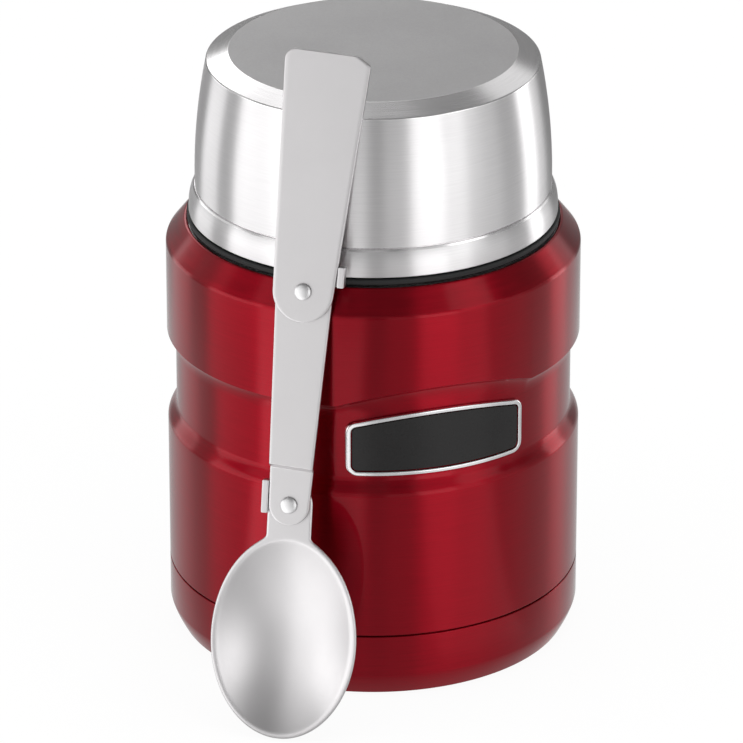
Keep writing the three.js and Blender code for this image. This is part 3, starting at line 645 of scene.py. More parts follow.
class FOOD_JAR_OT_body(bpy.types.Operator):
    """Make the painted base cap and the painted shell with its waist and arch"""

    bl_idname = "food_jar.body"
    bl_label = "Painted body"

    def execute(self, context):
        sizes = context.scene.food_jar_body
        paint = lacquer_finish(context.scene.food_jar_finishes)
        add_piece("painted_base", [self.base_cap(sizes)], "jar", "body_paint", "base_cap", paint)
        add_piece("painted_shell", [self.shell(sizes)], "jar", "body_paint", "outer_shell", paint)
        return {"FINISHED"}

    def base_cap(self, sizes):
        """The foot bows out by r = R - inset (1 - t)^1.32 up to its height, and a straight wall follows."""
        body, seam = radius("base_cap"), top("base_cap")
        t = 1 - np.cos(np.linspace(0.25, np.pi / 2, 16))
        bow = np.stack([body - sizes.foot_inset * (1 - t) ** 1.32, sizes.foot_height * t, 0 * t], axis=1)
        table_radius = body - sizes.foot_inset - 0.4 * MM
        outside = np.vstack([(0, 0, 0), (table_radius, 0, 0.5 * MM), bow, (body, seam, 0)])
        # The inside follows five of the outside's corners, moved in by the wall
        inside = moved_in(outside[[0, 1, 9, -2, -1]], sizes.wall)
        lip = np.array([(body, seam, 0.2 * MM), (body - sizes.wall, seam, 0.1 * MM)])
        return solid_of(np.vstack([outside[:-1], lip, inside[::-1][1:]]))

    def shell(self, sizes):
        """Each bearing has the shell's section, its upper ramp raised by arch (1 - (bearing / half)^2)."""
        path = np.vstack([shell_path(sizes), shell_inside(sizes)])
        half = sizes.arch_half_angle
        bearing = np.union1d(np.linspace(-np.pi, np.pi, 240, endpoint=False), [-half, half])
        lift = sizes.arch_height * np.clip(1 - (bearing / half) ** 2, 0, None)
        return around(path[:, :1], bearing, path[:, 1:2] + path[:, 2:] * lift), True, True


class FOOD_JAR_OT_vessel(bpy.types.Operator):
    """Make the vacuum vessel, its neck, and what closes and lines the vacuum space"""

    bl_idname = "food_jar.vessel"
    bl_label = "Vacuum vessel"

    def execute(self, context):
        wall = context.scene.food_jar_body.wall
        drawn = steel_finish("drawn_steel", (0.60, 0.60, 0.61), 40, (0.38, 0.5), 0.5)
        bare = steel_finish("neck_steel", context.scene.food_jar_finishes.steel, 60, (0.28, 0.38), 0.7)
        add_piece("food_vessel", [self.vessel(wall)], "jar", "vessel_steel", "inner_vessel", drawn)
        add_piece("screw_neck", self.neck(wall), "jar", "lid_steel", "threaded_neck", bare)
        add_piece("vacuum_floor", [self.floor(wall)], "jar", "vessel_steel", "shell_floor", drawn)
        self.small_parts()
        return {"FINISHED"}

    def vessel(self, wall):
        """A turned shell inside the foil: its outside, a rolled lip, and the outside moved in by the wall."""
        outer = radius("radiation_foil") - 0.7 * MM
        mouth = radius("stopper_foam") + 2.6 * MM
        low, high = foot("inner_vessel"), top("inner_vessel")
        neck_foot = top("outer_shell") - 1.85 * MM
        lip_foot, lip = high - wall, mouth + 1.5 * MM
        outside = np.array([(0, low, 0), (outer, low, 8 * MM), (outer, neck_foot - 9 * MM, 3 * MM),
                            (mouth + wall, neck_foot, 2 * MM), (mouth + wall, lip_foot, 0.3 * MM)])
        inside = moved_in(outside, wall)
        inside[1:4, 2] = [7.4 * MM, 2.6 * MM, 2.4 * MM]
        inside[-1] = (mouth, high, 0.55 * MM)
        rolled = np.array([(lip, lip_foot, 0.2 * MM), (lip, high, 0.28 * MM)])
        return solid_of(np.vstack([outside, rolled, inside[::-1]]), steps=10)

    def neck(self, wall):
        """A turned tube with a flange round its foot, and a three-start thread on its outside."""
        crest = radius("stopper_plug") - 0.05 * MM
        outer = crest - THREAD_DEPTH
        inner = outer - wall
        flange = radius("threaded_neck")
        low, high = foot("threaded_neck"), top("threaded_neck")
        section = [(outer, high, 0.2 * MM), (inner, high, 0.2 * MM), (inner, low, 0.3 * MM),
                   (flange, low, 0.15 * MM), (flange, low + wall, 0.15 * MM), (outer, low + wall, 0.8 * MM)]
        return [ring_of(section), *thread(outer, crest, top("outer_shell") + 4.5 * MM)]

    def floor(self, wall):
        """A turned dish with an upright rim and a hole in its middle: its underside, moved in by the wall."""
        low = foot("shell_floor")
        rim = radius("shell_floor")
        hole = 1.8 * MM
        under = np.array([(hole, low + 1.0 * MM, 0), (20 * MM, low, 6 * MM), (rim, low, 1.0 * MM),
                          (rim, low + 3 * MM, 0)])
        return ring_of(np.vstack([under, moved_in(under, wall)[::-1]]))

    def small_parts(self):
        """The drop of solder, the getter pill and the foil sleeve, each turned to fill its node's box."""
        low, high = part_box("vacuum_seal")
        wide, collar, shank = -low.x, low.z + 0.8 * MM, 1.5 * MM
        drop = solid_of([(0, low.z, 0), (wide * 0.75, low.z, 0.5 * MM), (wide, collar, 0.2 * MM),
                         (shank, collar, 0), (shank, high.z, 0.2 * MM), (0, high.z, 0)], SMALL_ROUND)
        braze = moulded_finish("dull_braze", (0.42, 0.27, 0.09), (0.4, 0.6), 700.0, 0.2 * MM)
        add_piece("solder_seal", [drop], "jar", "braze", "vacuum_seal", braze)
        low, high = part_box("getter")
        wide, edge = (high.x - low.x) / 2, 0.3 * MM
        pill = solid_of([(0, low.z, 0), (wide, low.z, edge), (wide, high.z, edge), (0, high.z, 0)],
                        SMALL_ROUND)
        pill[0][..., 0] += (high.x + low.x) / 2
        grey = moulded_finish("sintered_pill", (0.15, 0.155, 0.16), (0.6, 0.85), 2200.0, 0.2 * MM)
        add_piece("getter_pill", [pill], "jar", "getter_metal", "getter", grey)
        sleeve = ring_in("radiation_foil", 0.4 * MM, 0.1 * MM)
        add_piece("foil_sleeve", [sleeve], "jar", "foil", "radiation_foil", foil_finish())


class FOOD_JAR_OT_badge(bpy.types.Operator):
    """Make the bare badge plate and its silver border, curved round the waist"""

    bl_idname = "food_jar.badge"
    bl_label = "Badge"

    def execute(self, context):
        sizes = context.scene.food_jar_badge
        finishes = context.scene.food_jar_finishes
        seat = radius("base_cap") - context.scene.food_jar_body.waist_depth + FIT
        low = foot("badge_frame")
        outline = self.outline(sizes)
        out = self.outward(outline)
        border = [(self.border(sizes, outline, out, seat, low), True, True)]
        bright = polished_finish("badge_silver", finishes.silver, 0.2)
        add_piece("badge_border_ring", border, "jar", "badge_border", "badge_frame", bright)
        field = [(self.field(sizes, outline, out, seat, low), False, True)]
        gloss = moulded_finish("badge_black", finishes.badge, (0.24, 0.32), 500.0, 0.004 * MM, specular=0.25)
        add_piece("badge_field_plate", field, "jar", "badge_field", "badge_plate", gloss)
        return {"FINISHED"}

    def border(self, sizes, outline, out, seat, low):
        """A section, as (distance in from the outline, height), that is carried round the outline."""
        tall, edge = 0.8 * MM, 0.3 * MM
        section = softened([(0, 0, 0), (0, tall, edge), (sizes.border, tall, edge), (sizes.border, 0, 0)],
                           closed=True)
        return self.wrapped(outline[None] - out[None] * section[:, :1, None], seat + section[:, 1:], low)

    def field(self, sizes, outline, out, seat, low):
        """Rows that run from the plate's middle line to its edge, over it and back."""
        tall, spine_inset = 0.5 * MM, 7 * MM
        inner = outline - out * (sizes.border + FIT)
        reach = sizes.width / 2 - spine_inset
        spine = np.clip(inner, [-reach, 0], [reach, 1])
        spine[:, 1] = sizes.height / 2
        share = np.linspace(0, 1, 14)
        share = np.concatenate([share, [1], share[::-1]])[:, None, None]
        height = np.repeat([tall, 0], [14, 15])[:, None]
        return self.wrapped(spine + (inner - spine) * share, seat + height, low)

    def outline(self, sizes):
        """Straight foot and sides under the parabola height + arch (1 - (x / half)^2), corners rounded."""
        half, corner = sizes.width / 2, sizes.corner
        flank = 0.72 * half  # how far to each side the parabola has points
        x = np.linspace(flank, -flank, 25)
        arch = np.stack([x, sizes.height + sizes.arch * (1 - (x / half) ** 2), 0 * x], axis=1)
        corners = np.vstack([(-half, 0, corner), (half, 0, corner), (half, sizes.height, corner), arch,
                             (-half, sizes.height, corner)])
        return spaced(softened(corners, closed=True, steps=10), 0.5 * MM)

    def outward(self, path):
        """Unit normals of a closed path that runs anticlockwise."""
        along = lengthwise(np.roll(path, -1, axis=0) - np.roll(path, 1, axis=0))
        return np.stack([along[:, 1], -along[:, 0]], axis=1)

    def wrapped(self, points, reach, low):
        """Flat points bent round the axis: x stays as seen from the front, so the bearing is asin(x / r)."""
        return around(reach, np.arcsin(points[..., 0] / reach), low + points[..., 1])


# Stopper and cup


def rubber_finish(name, finishes):
    """Soft grey rubber of the gasket and the seal."""
    return moulded_finish(name, finishes.silicone, (0.6, 0.75), 1200.0)


class FOOD_JAR_OT_stopper(bpy.types.Operator):
    """Make the stopper's cap with its well, the plug, the foam and the gasket"""

    bl_idname = "food_jar.stopper"
    bl_label = "Stopper"

    def execute(self, context):
        finishes = context.scene.food_jar_finishes
        black = moulded_finish("stopper_black", finishes.plastic)
        add_piece("stopper_cap_shell", self.cap(), "stopper", "lid_plastic", "stopper_cap", black)
        add_piece("plug_shell", [self.plug()], "stopper", "lid_plastic", "stopper_plug", black)
        low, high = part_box("stopper_foam")
        edge = 0.8 * MM
        foam = solid_of([(0, low.z, 0), (high.x, low.z, edge), (high.x, high.z, edge), (0, high.z, 0)])
        add_piece("foam_filling", [foam], "stopper", "foam", "stopper_foam", foam_finish(finishes.foam))
        gasket = ring_in("stopper_gasket", 2.9 * MM, 0.45 * MM)
        rubber = rubber_finish("gasket_grey", finishes)
        add_piece("gasket_ring", [gasket], "stopper_seal", "seal_silicone", "stopper_gasket", rubber)
        return {"FINISHED"}

    def plug(self):
        """A turned beaker round the foam, with a flange round its mouth."""
        low, high = foot("stopper_plug"), top("stopper_plug")
        flange, wall = radius("stopper_plug"), PLASTIC_WALL
        shaft = radius("stopper_foam") + FIT + wall
        flange_foot = high - 1.7 * MM
        return solid_of([(0, low, 0), (shaft, low, 2.0 * MM), (shaft, flange_foot, 0.2 * MM),
                         (flange, flange_foot, 0.4 * MM), (flange, high, 0.2 * MM),
                         (shaft - wall, high, 0.3 * MM), (shaft - wall, low + wall, 0.4 * MM),
                         (0, low + wall, 0)])

    def cap(self):
        """A turned cap. Its well's rim carries 24 grip ribs: r grows by sqrt(1 - w^2) - 0.2 within 1 mm of a
        rib's middle, w being the distance round the rim in millimetres."""
        crest, wall, edge, ribs = radius("stopper_cap"), PLASTIC_WALL, 0.3 * MM, 24
        outer = crest - THREAD_DEPTH
        inner = outer - wall
        rim = outer - 1.2 * MM
        low, high = foot("stopper_cap"), top("stopper_cap")
        floor = high - 6 * MM
        path = softened([
            (0, floor - wall, 0), (inner, floor - wall, edge), (inner, low, edge), (outer, low, 2 * edge),
            (outer, floor, edge), (rim, floor, 0.1 * MM), (rim, floor + 0.3 * MM, 0),
            (rim, floor + 0.8 * MM, 0), (rim, high - 0.8 * MM, 0), (rim, high, edge),
            (rim - wall, high, edge), (rim - wall, floor, 0.8 * MM), (0, floor, 0)])
        columns = ribs * 20
        bearing = np.linspace(0, 2 * np.pi, columns, endpoint=False)
        offset = (bearing * ribs / (2 * np.pi) + 0.5) % 1 - 0.5
        beside = offset * 2 * np.pi / ribs * rim / MM
        rib = (np.sqrt(np.clip(1 - beside**2, 0, None)) - 0.2).clip(0) * MM
        level = (path[:, 1] > floor + 0.5 * MM) & (path[:, 1] < high - 0.5 * MM)
        on_rim = (np.abs(path[:, 0] - rim) < 0.01 * MM) & level
        shoulder = top("outer_shell")
        return [
            (turned(path, columns, on_rim[:, None] * rib[None]), False, True),
            *(self.clip(side, floor) for side in (-1, 1)),
            *thread(outer, crest, low + 3.2 * MM),
            *thread(inner, inner - THREAD_DEPTH, shoulder + 3.0 * MM),
        ]

    def clip(self, side, floor):
        """A rounded upright tongue that holds the folded spoon."""
        return block((8 * MM, 1.6 * MM, 5.25 * MM), 0.6 * MM, 0.5 * MM, (0, side * 18 * MM, floor + 4.5 * MM))


def cup_corners(sizes, grooved=False):
    """Outside of the cup from its lower edge to the middle of its top, as (radius, height, rounding).

    The band draws in by depth t^3 up to the groove, a fine V that is cut in the outside alone. From there to
    the bevel the wall is a straight taper that swells by 4 bulge s (1 - s).
    """
    lower, low, high = radius("cup_shell"), foot("cup_shell"), top("cup_shell")
    wall_foot = lower - sizes.groove_depth
    groove = low + sizes.groove_height
    bevel_foot = high - sizes.bevel_height
    t = np.linspace(0.1, 1, 14)
    band = np.stack([lower - sizes.groove_depth * t**3, low + sizes.groove_height * t, 0 * t], axis=1)
    set_back = 0.12 * MM  # of the wall's foot from the band's upper edge
    cut = []
    if grooved:
        band[-1, 2] = 0.1 * MM
        cut = [(wall_foot - 0.5 * MM, groove + 0.04 * MM, 0.03 * MM),
               (wall_foot - set_back, groove + 0.36 * MM, 0.1 * MM)]
    s = np.linspace(0.05, 0.97, 24)
    wall = np.stack([wall_foot + (sizes.bevel_radius - wall_foot) * s + 4 * sizes.bulge * s * (1 - s),
                     groove + (bevel_foot - groove) * s, 0 * s], axis=1)
    wall[:, 0] -= set_back * (1 - s)
    return np.vstack([
        (lower, low, 0.25 * MM),
        band,
        *cut,
        wall,
        (sizes.bevel_radius, bevel_foot, 0.45 * MM),
        (sizes.disc_radius, high, 0.2 * MM),
        (0, high, 0),
    ])


class FOOD_JAR_OT_cup(bpy.types.Operator):
    """Make the brushed steel cup, its black liner and the seal in the liner's flange"""

    bl_idname = "food_jar.cup"
    bl_label = "Cup"

    def execute(self, context):
        sizes = context.scene.food_jar_cup
        finishes = context.scene.food_jar_finishes
        wall = context.scene.food_jar_body.wall
        corners = cup_corners(sizes)
        shell = solid_of(np.vstack([moved_in(corners, wall)[::-1], cup_corners(sizes, True)]))
        steels = (steel_finish("cup_steel", finishes.steel), blasted_shaded_finish(finishes.steel),
                  steel_finish("cup_edge_steel", finishes.steel, rough=(0.19, 0.22), shine=0.7, relief=0.15))
        cup = add_piece("steel_cup", [shell], "cup", "lid_steel", "cup_shell", *steels)
        cup.data.polygons.foreach_set("material_index", self.zones(cup.data, sizes))
        liner = self.liner(sizes, moved_in(corners, wall + FIT))
        darker = [0.7 * part for part in finishes.plastic]
        black = moulded_finish("liner_black", darker, (0.5, 0.62), specular=0.3)
        add_piece("cup_lining", liner, "cup", "lid_plastic", "cup_liner", black)
        seal = ring_in("rim_seal", 1.6 * MM, 0.35 * MM)
        rubber = rubber_finish("seal_grey", finishes)
        add_piece("seal_ring", [seal], "cup_seal", "seal_silicone", "rim_seal", rubber)
        return {"FINISHED"}

    def zones(self, mesh, sizes):
        """1 for each face of the flat top, 2 for the bevel and the groove, and 0 for the others.

        The small margins take in the rounded edges beside each zone.
        """
        middle = np.zeros(len(mesh.polygons) * 3, np.float32)
        mesh.polygons.foreach_get("center", middle)
        middle = middle.reshape(-1, 3)
        reach, height = np.hypot(middle[:, 0], middle[:, 1]), middle[:, 2]
        high, rim = top("cup_shell"), sizes.disc_radius - 0.02 * MM
        slope = sizes.bevel_height / (sizes.bevel_radius - sizes.disc_radius)
        disc = (reach < rim) & (height > high - 0.1 * MM)
        bevel = (reach >= rim) & (height > high - slope * (reach - sizes.disc_radius) - 0.25 * MM)
        groove = np.abs(height - foot("cup_shell") - sizes.groove_height) < 0.34 * MM
        groove &= reach > radius("cup_shell") - sizes.groove_depth - 0.55 * MM
        return np.select([disc, bevel | groove], [1, 2], 0).astype(np.int32)

    def liner(self, sizes, outside):
        """The cup's inside, moved in and turned, with a thick threaded foot and a flange for the seal.

        Where the path runs along the axis its faces have no width, so skin leaves them out.
        """
        overhang = 0.7 * MM  # past the solid's flange, which hides the gap below the steel
        flange = radius("cup_liner") + overhang
        low = foot("cup_liner")
        flange_top = foot("cup_shell") - FIT
        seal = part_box("rim_seal")[1]
        seat_outer, seat_top = seal.x + FIT, seal.z + FIT
        seat_inner = seat_outer - 2.2 * MM
        zone = foot("cup_shell") + sizes.thread_zone
        bowl = moved_in(outside, sizes.liner)
        bowl = bowl[bowl[:, 1] > zone]
        root = sizes.thread_radius
        path = softened(np.vstack([
            (seat_outer, seat_top, 0), (seat_outer, low, 0.15 * MM), (flange, low, 0.45 * MM),
            (flange, flange_top, 0.3 * MM), (outside[0, 0], flange_top, 0), outside[1:], bowl[::-1],
            (root, zone, 0.4 * MM), (root, low, 0.25 * MM), (seat_inner, low, 0.15 * MM),
            (seat_inner, seat_top, 0)]), closed=True)
        ridges = thread(root, root - THREAD_DEPTH, foot("stopper_cap") + 1.7 * MM)
        return [(turned(path), True, True), *ridges]


# Folding spoon


def spoon_frames(sizes):
    """Origins and axes of the spoon's parts, from its two joints in the record."""
    joints = {joint["name"]: joint for joint in frame["joints"]}
    lower = np.array(joints["link_fold"]["pos_m"])
    upper = np.array(joints["handle_fold"]["pos_m"])
    forward = lengthwise(np.array(joints["handle_fold"]["axis"], float))
    across = lengthwise(np.cross([0, 0, 1], forward) * [1, 1, 0])
    along = np.cross(forward, across)
    tip = lower - along * (sizes.bowl_tip + sizes.bowl_neck + sizes.tang_reach)
    link_along = lengthwise(upper - lower)
    link_axes = np.array([np.cross(link_along, forward), link_along, forward])
    slant = sizes.handle_turn
    handle_along = math.cos(slant) * along - math.sin(slant) * across
    return {
        "bowl": (tip, np.array([across, along, forward])),
        "bowl_rivet": (lower, np.array([across, along, forward])),
        "link": (lower, link_axes),
        "handle_rivet": (upper, link_axes),
        "handle": (upper, np.array([np.cross(handle_along, forward), handle_along, forward])),
    }


class FOOD_JAR_OT_spoon(bpy.types.Operator):
    """Make the folding spoon: bowl with tang, joggled link, handle and the two rivets"""

    bl_idname = "food_jar.spoon"
    bl_label = "Folding spoon"

    edge = 0.17 * MM  # rounding of the sheets' edges
    tab_width = 1.5 * MM
    tab_root = 2.1 * MM  # from the middle of a plate to the inner end of its tab's root

    def execute(self, context):
        sizes = context.scene.food_jar_spoon
        places = spoon_frames(sizes)
        spacing = float(np.linalg.norm(places["link"][0] - places["handle_rivet"][0]))
        x_axis = places["bowl"][1][0]
        turn = Euler((0, 0, -math.atan2(x_axis[1], x_axis[0])))
        satin = satin_finish(context.scene.food_jar_finishes.spoon, turn)
        bright = polished_finish("rivet_bright", (0.72, 0.715, 0.72), 0.36)
        parts = (
            ("spoon_bowl_and_tang", "spoon_bowl", "spoon_bowl", "bowl", self.bowl(sizes)),
            ("joggled_link", "spoon_link", "spoon_link", "link", self.link(sizes, spacing)),
            ("spoon_handle_plate", "spoon_handle", "spoon_handle", "handle", self.handle(sizes)),
            ("tang_rivet", "spoon_bowl", "bowl_rivet", "bowl_rivet", self.rivet(0, sizes)),
            ("link_rivet", "spoon_link", "handle_rivet", "handle_rivet", self.rivet(2, sizes)),
        )
        for name, body, node_name, place, grids in parts:
            origin, axes = places[place]
            placed = [(points @ axes + origin, *meets) for points, *meets in grids]
            slot, finish = ("rivet_steel", bright) if name.endswith("rivet") else ("spoon_steel", satin)
            add_piece(name, placed, body, slot, node_name, finish)
        return {"FINISHED"}

    def layer_top(self, layer, sizes):
        """Height of a sheet's front over the tang's, the layers being a sheet and a fit apart."""
        return layer * (sizes.sheet + FIT)

    def dish(self, sizes):
        """Height of the dish: z = -depth (u + sqrt(u^2 + e^2)) / 2, which rounds off -depth max(0, u).

        u = t - e, and t = 1 - (distance from its middle as a share of the half ellipse)^2. A narrow flat rim
        goes round it.
        """
        rim, soft = 0.75 * MM, 0.02
        a, tip, neck = sizes.bowl_half_width - rim, sizes.bowl_tip, sizes.bowl_neck - rim

        def face(x, y):
            rise = y - tip
            reach = np.where(rise < 0, tip - rim, neck)
            t = 1 - (x / a) ** 2 - (rise / reach) ** 2
            return -sizes.bowl_depth * (t - soft + np.sqrt((t - soft) ** 2 + soft**2)) / 2

        return face

    def bowl(self, sizes):
        """Half ellipses that flow into the tang, by a smooth maximum of both half widths a and b:
        w = (a + b + sqrt((a - b)^2 + soft^2)) / 2."""
        a, tip, neck, tang = sizes.bowl_half_width, sizes.bowl_tip, sizes.bowl_neck, sizes.tang_half_width
        rivet, soft, edge = tip + neck + sizes.tang_reach, 2.2 * MM, 0.38 * MM
        y = np.linspace(tip, rivet, 70)[1:]
        ellipse = a * np.sqrt(np.clip(1 - ((y - tip) / neck) ** 2, 0, None))
        blend = (ellipse + tang + np.sqrt((ellipse - tang) ** 2 + soft**2)) / 2
        far = np.clip((y - tip) / neck, 0, 1) ** 6
        side = np.stack([np.where(y > tip + neck, blend, ellipse + (blend - ellipse) * far), y], axis=1)
        end = upper_arc(side[-1, 0], tang, 40)[1:] + [0, rivet]
        right = np.vstack([lower_arc(a, tip, 40) + [0, tip], side, end])
        spoon = plate(mirrored(right), self.dish(sizes), sizes.bowl_sheet, edge, across=41)
        inner = sizes.link_half_width + 0.75 * FIT
        levels = -sizes.sheet, 0, self.layer_top(1, sizes)
        return [spoon, *self.stop_tab(-1, inner, rivet - 2.2 * MM, 7.4 * MM, levels)]

    def stop_tab(self, side, inner, low, tall, levels):
        """A rounded block beside the plate above, and its root in the plate that carries it.

        levels are the heights of the block's foot, of the root's top and of the block's top.
        """
        outer = inner + self.tab_width
        blocks = []
        for near, high in ((inner, levels[2]), (self.tab_root, levels[1])):
            size = outer - near, tall, high - levels[0]
            place = side * (near + outer) / 2, low + tall / 2, high
            blocks.append(block(size, 0.3 * MM, 0.15 * MM, place, across=3))
        return blocks

    def link(self, sizes, spacing):
        """A plate that steps forward by one layer between two creases."""
        low, high = sizes.link_half_width, sizes.link_top_half_width
        joggle, climb, slant_of_step, margin = 8.0 * MM, 0.9 * MM, -0.04, 0.8 * MM
        y = np.linspace(joggle - margin, joggle + climb + margin, 21)
        straight = np.stack([low + (high - low) * y / spacing, y], axis=1)
        right = np.vstack([lower_arc(low, low), straight, upper_arc(high, high) + [0, spacing]])
        base, step = self.layer_top(1, sizes), self.layer_top(1, sizes)

        def face(x, y):
            """A straight climb s between two creases: base + step s."""
            s = np.clip((y - joggle - slant_of_step * x) / climb, 0, 1)
            return base + step * s

        strip = plate(mirrored(right), face, sizes.sheet, self.edge, across=21)
        rise, reach, tall = 1.6 * MM, 6.2 * MM, 4.6 * MM
        spread = (sizes.handle_top_half_width - sizes.handle_half_width) / sizes.handle_reach
        slant = math.radians(-1.4) - sizes.handle_turn
        inner = sizes.handle_half_width + reach * (spread + math.tan(slant)) + FIT / 3
        carrier = self.layer_top(2, sizes)
        levels = carrier - sizes.sheet, carrier, self.layer_top(3, sizes)
        return [strip, *self.stop_tab(1, inner, spacing + rise, tall, levels)]

    def handle(self, sizes):
        """A flat plate that widens towards its end, with one round and one cut corner."""
        low, high, reach = sizes.handle_half_width, sizes.handle_top_half_width, sizes.handle_reach
        cut, drop, soft, round_corner = 3.2 * MM, 1.8 * MM, 1.0 * MM, 2.4 * MM
        at_cut = low + (high - low) * (reach - drop) / reach
        right = softened([(low, 0, 0), (at_cut, reach - drop, soft), (high - cut, reach, soft),
                          (0, reach, 0)], steps=8)
        left = softened([(low, 0, 0), (high, reach, round_corner), (0, reach, 0)], steps=12)
        right, left = (np.vstack([lower_arc(low, low), edge[1:]]) for edge in (right, left))
        base = self.layer_top(3, sizes)
        return [plate((right, left * [-1, 1]), lambda x, y: base + 0 * x, sizes.sheet, self.edge, across=21)]

    def rivet(self, lower, sizes):
        """A shank through two plates, with a domed head in front and a flat one behind."""
        back = self.layer_top(lower, sizes) - sizes.sheet - FIT
        front = self.layer_top(lower + 1, sizes) + FIT
        head, shank, dome, rim, under = 1.85 * MM, 1.3 * MM, 0.75 * MM, 0.12 * MM, 0.5 * MM
        crown = upper_arc(head, dome - rim, 12)[:-1] + [0, front + rim]
        return [solid_of(np.vstack([
            (0, back - under, 0), (head, back - under, 0.2 * MM), (head, back, 0.1 * MM), (shank, back, 0),
            (shank, front, 0), (head, front, 0), np.column_stack([crown, 0 * crown[:, 0]]),
            (0, front + dome, 0)]), SMALL_ROUND)]


# Studio

FLOOR_GLOW = 0.94  # share of white that the floor shows by itself
ROOM_LEVEL = 0.23  # what shiny surfaces see of the room between the panels

# Panels as name, from bearing, to bearing, soft edge, (from elevation, to elevation) in degrees, and level.
# Bearings are from the camera's, to the right.
PANELS = (
    ("left gap", -116, -94, 6, (0, 44), 0.45),
    ("left softbox", -95, -60, 4, (-9, 22), 1.9),
    ("left inner softbox", -62, -24, 6, (-9, 26), 1.3),
    ("left upper", -76, -24, 6, (26, 50), 0.75),
    ("middle edge", -24, -4, 6, (-9, 24), 0.5),
    ("middle card", 7, 22, 4, (-9, 20), 0.62),
    ("middle upper", -10, 9, 6, (0, 44), 0.2),
    ("right softbox", 23, 44, 4, (-9, 24), 2.05),
    ("right softbox, far", 44, 60, 6, (-9, 24), 1.1),
    ("right upper", 22, 50, 5, (24, 50), 0.3),
    ("right upper, far", 50, 76, 6, (24, 50), 1.5),
    ("right fade", 60, 86, 8, (-9, 24), 0.65),
    ("right gap", 86, 107, 5, (-9, 20), 0.33),
    ("far right strip", 107, 122, 5, (-9, 18), 2.35),
    ("far right fade", 122, 136, 6, (-9, 26), 0.65),
    ("far left strip", -134, -112, 6, (-9, 14), 1.25),
    ("back left", -190, -148, 8, (22, 64), 1.95),
    ("back middle", 167, 190, 8, (28, 64), 1.35),
    ("back right", 140, 167, 8, (30, 50), 0.6),
    ("table", -180, 180, 1, (-40, -9), 0.35),
    ("table near", -180, 180, 1, (-90, -40), 0.35),
    ("table left", -60, -22, 6, (-30, -9), 1.3),
    ("table middle", -22, -4, 6, (-26, -11), 0.7),
    ("table right", 24, 60, 6, (-40, -9), 0.33),
)

# Lamps as name, bearing and elevation in degrees, size, and share of the key's power
LAMPS = (
    ("lamp_above", 0, 80, 1.2, 1.0),
    ("lamp_left", -70, 35, 0.8, 0.6),
    ("lamp_right", 45, 35, 0.8, 0.6),
    ("lamp_behind", 170, 40, 0.9, 0.5),
)


def soft_box(value, low, high, edge):
    """1 between low and high and 0 outside, by the S curve s^2 (3 - 2s) over the edge's width."""
    rising = np.clip((value - low) / edge + 0.5, 0, 1)
    falling = np.clip((high - value) / edge + 0.5, 0, 1)
    return rising**2 * (3 - 2 * rising) * falling**2 * (3 - 2 * falling)


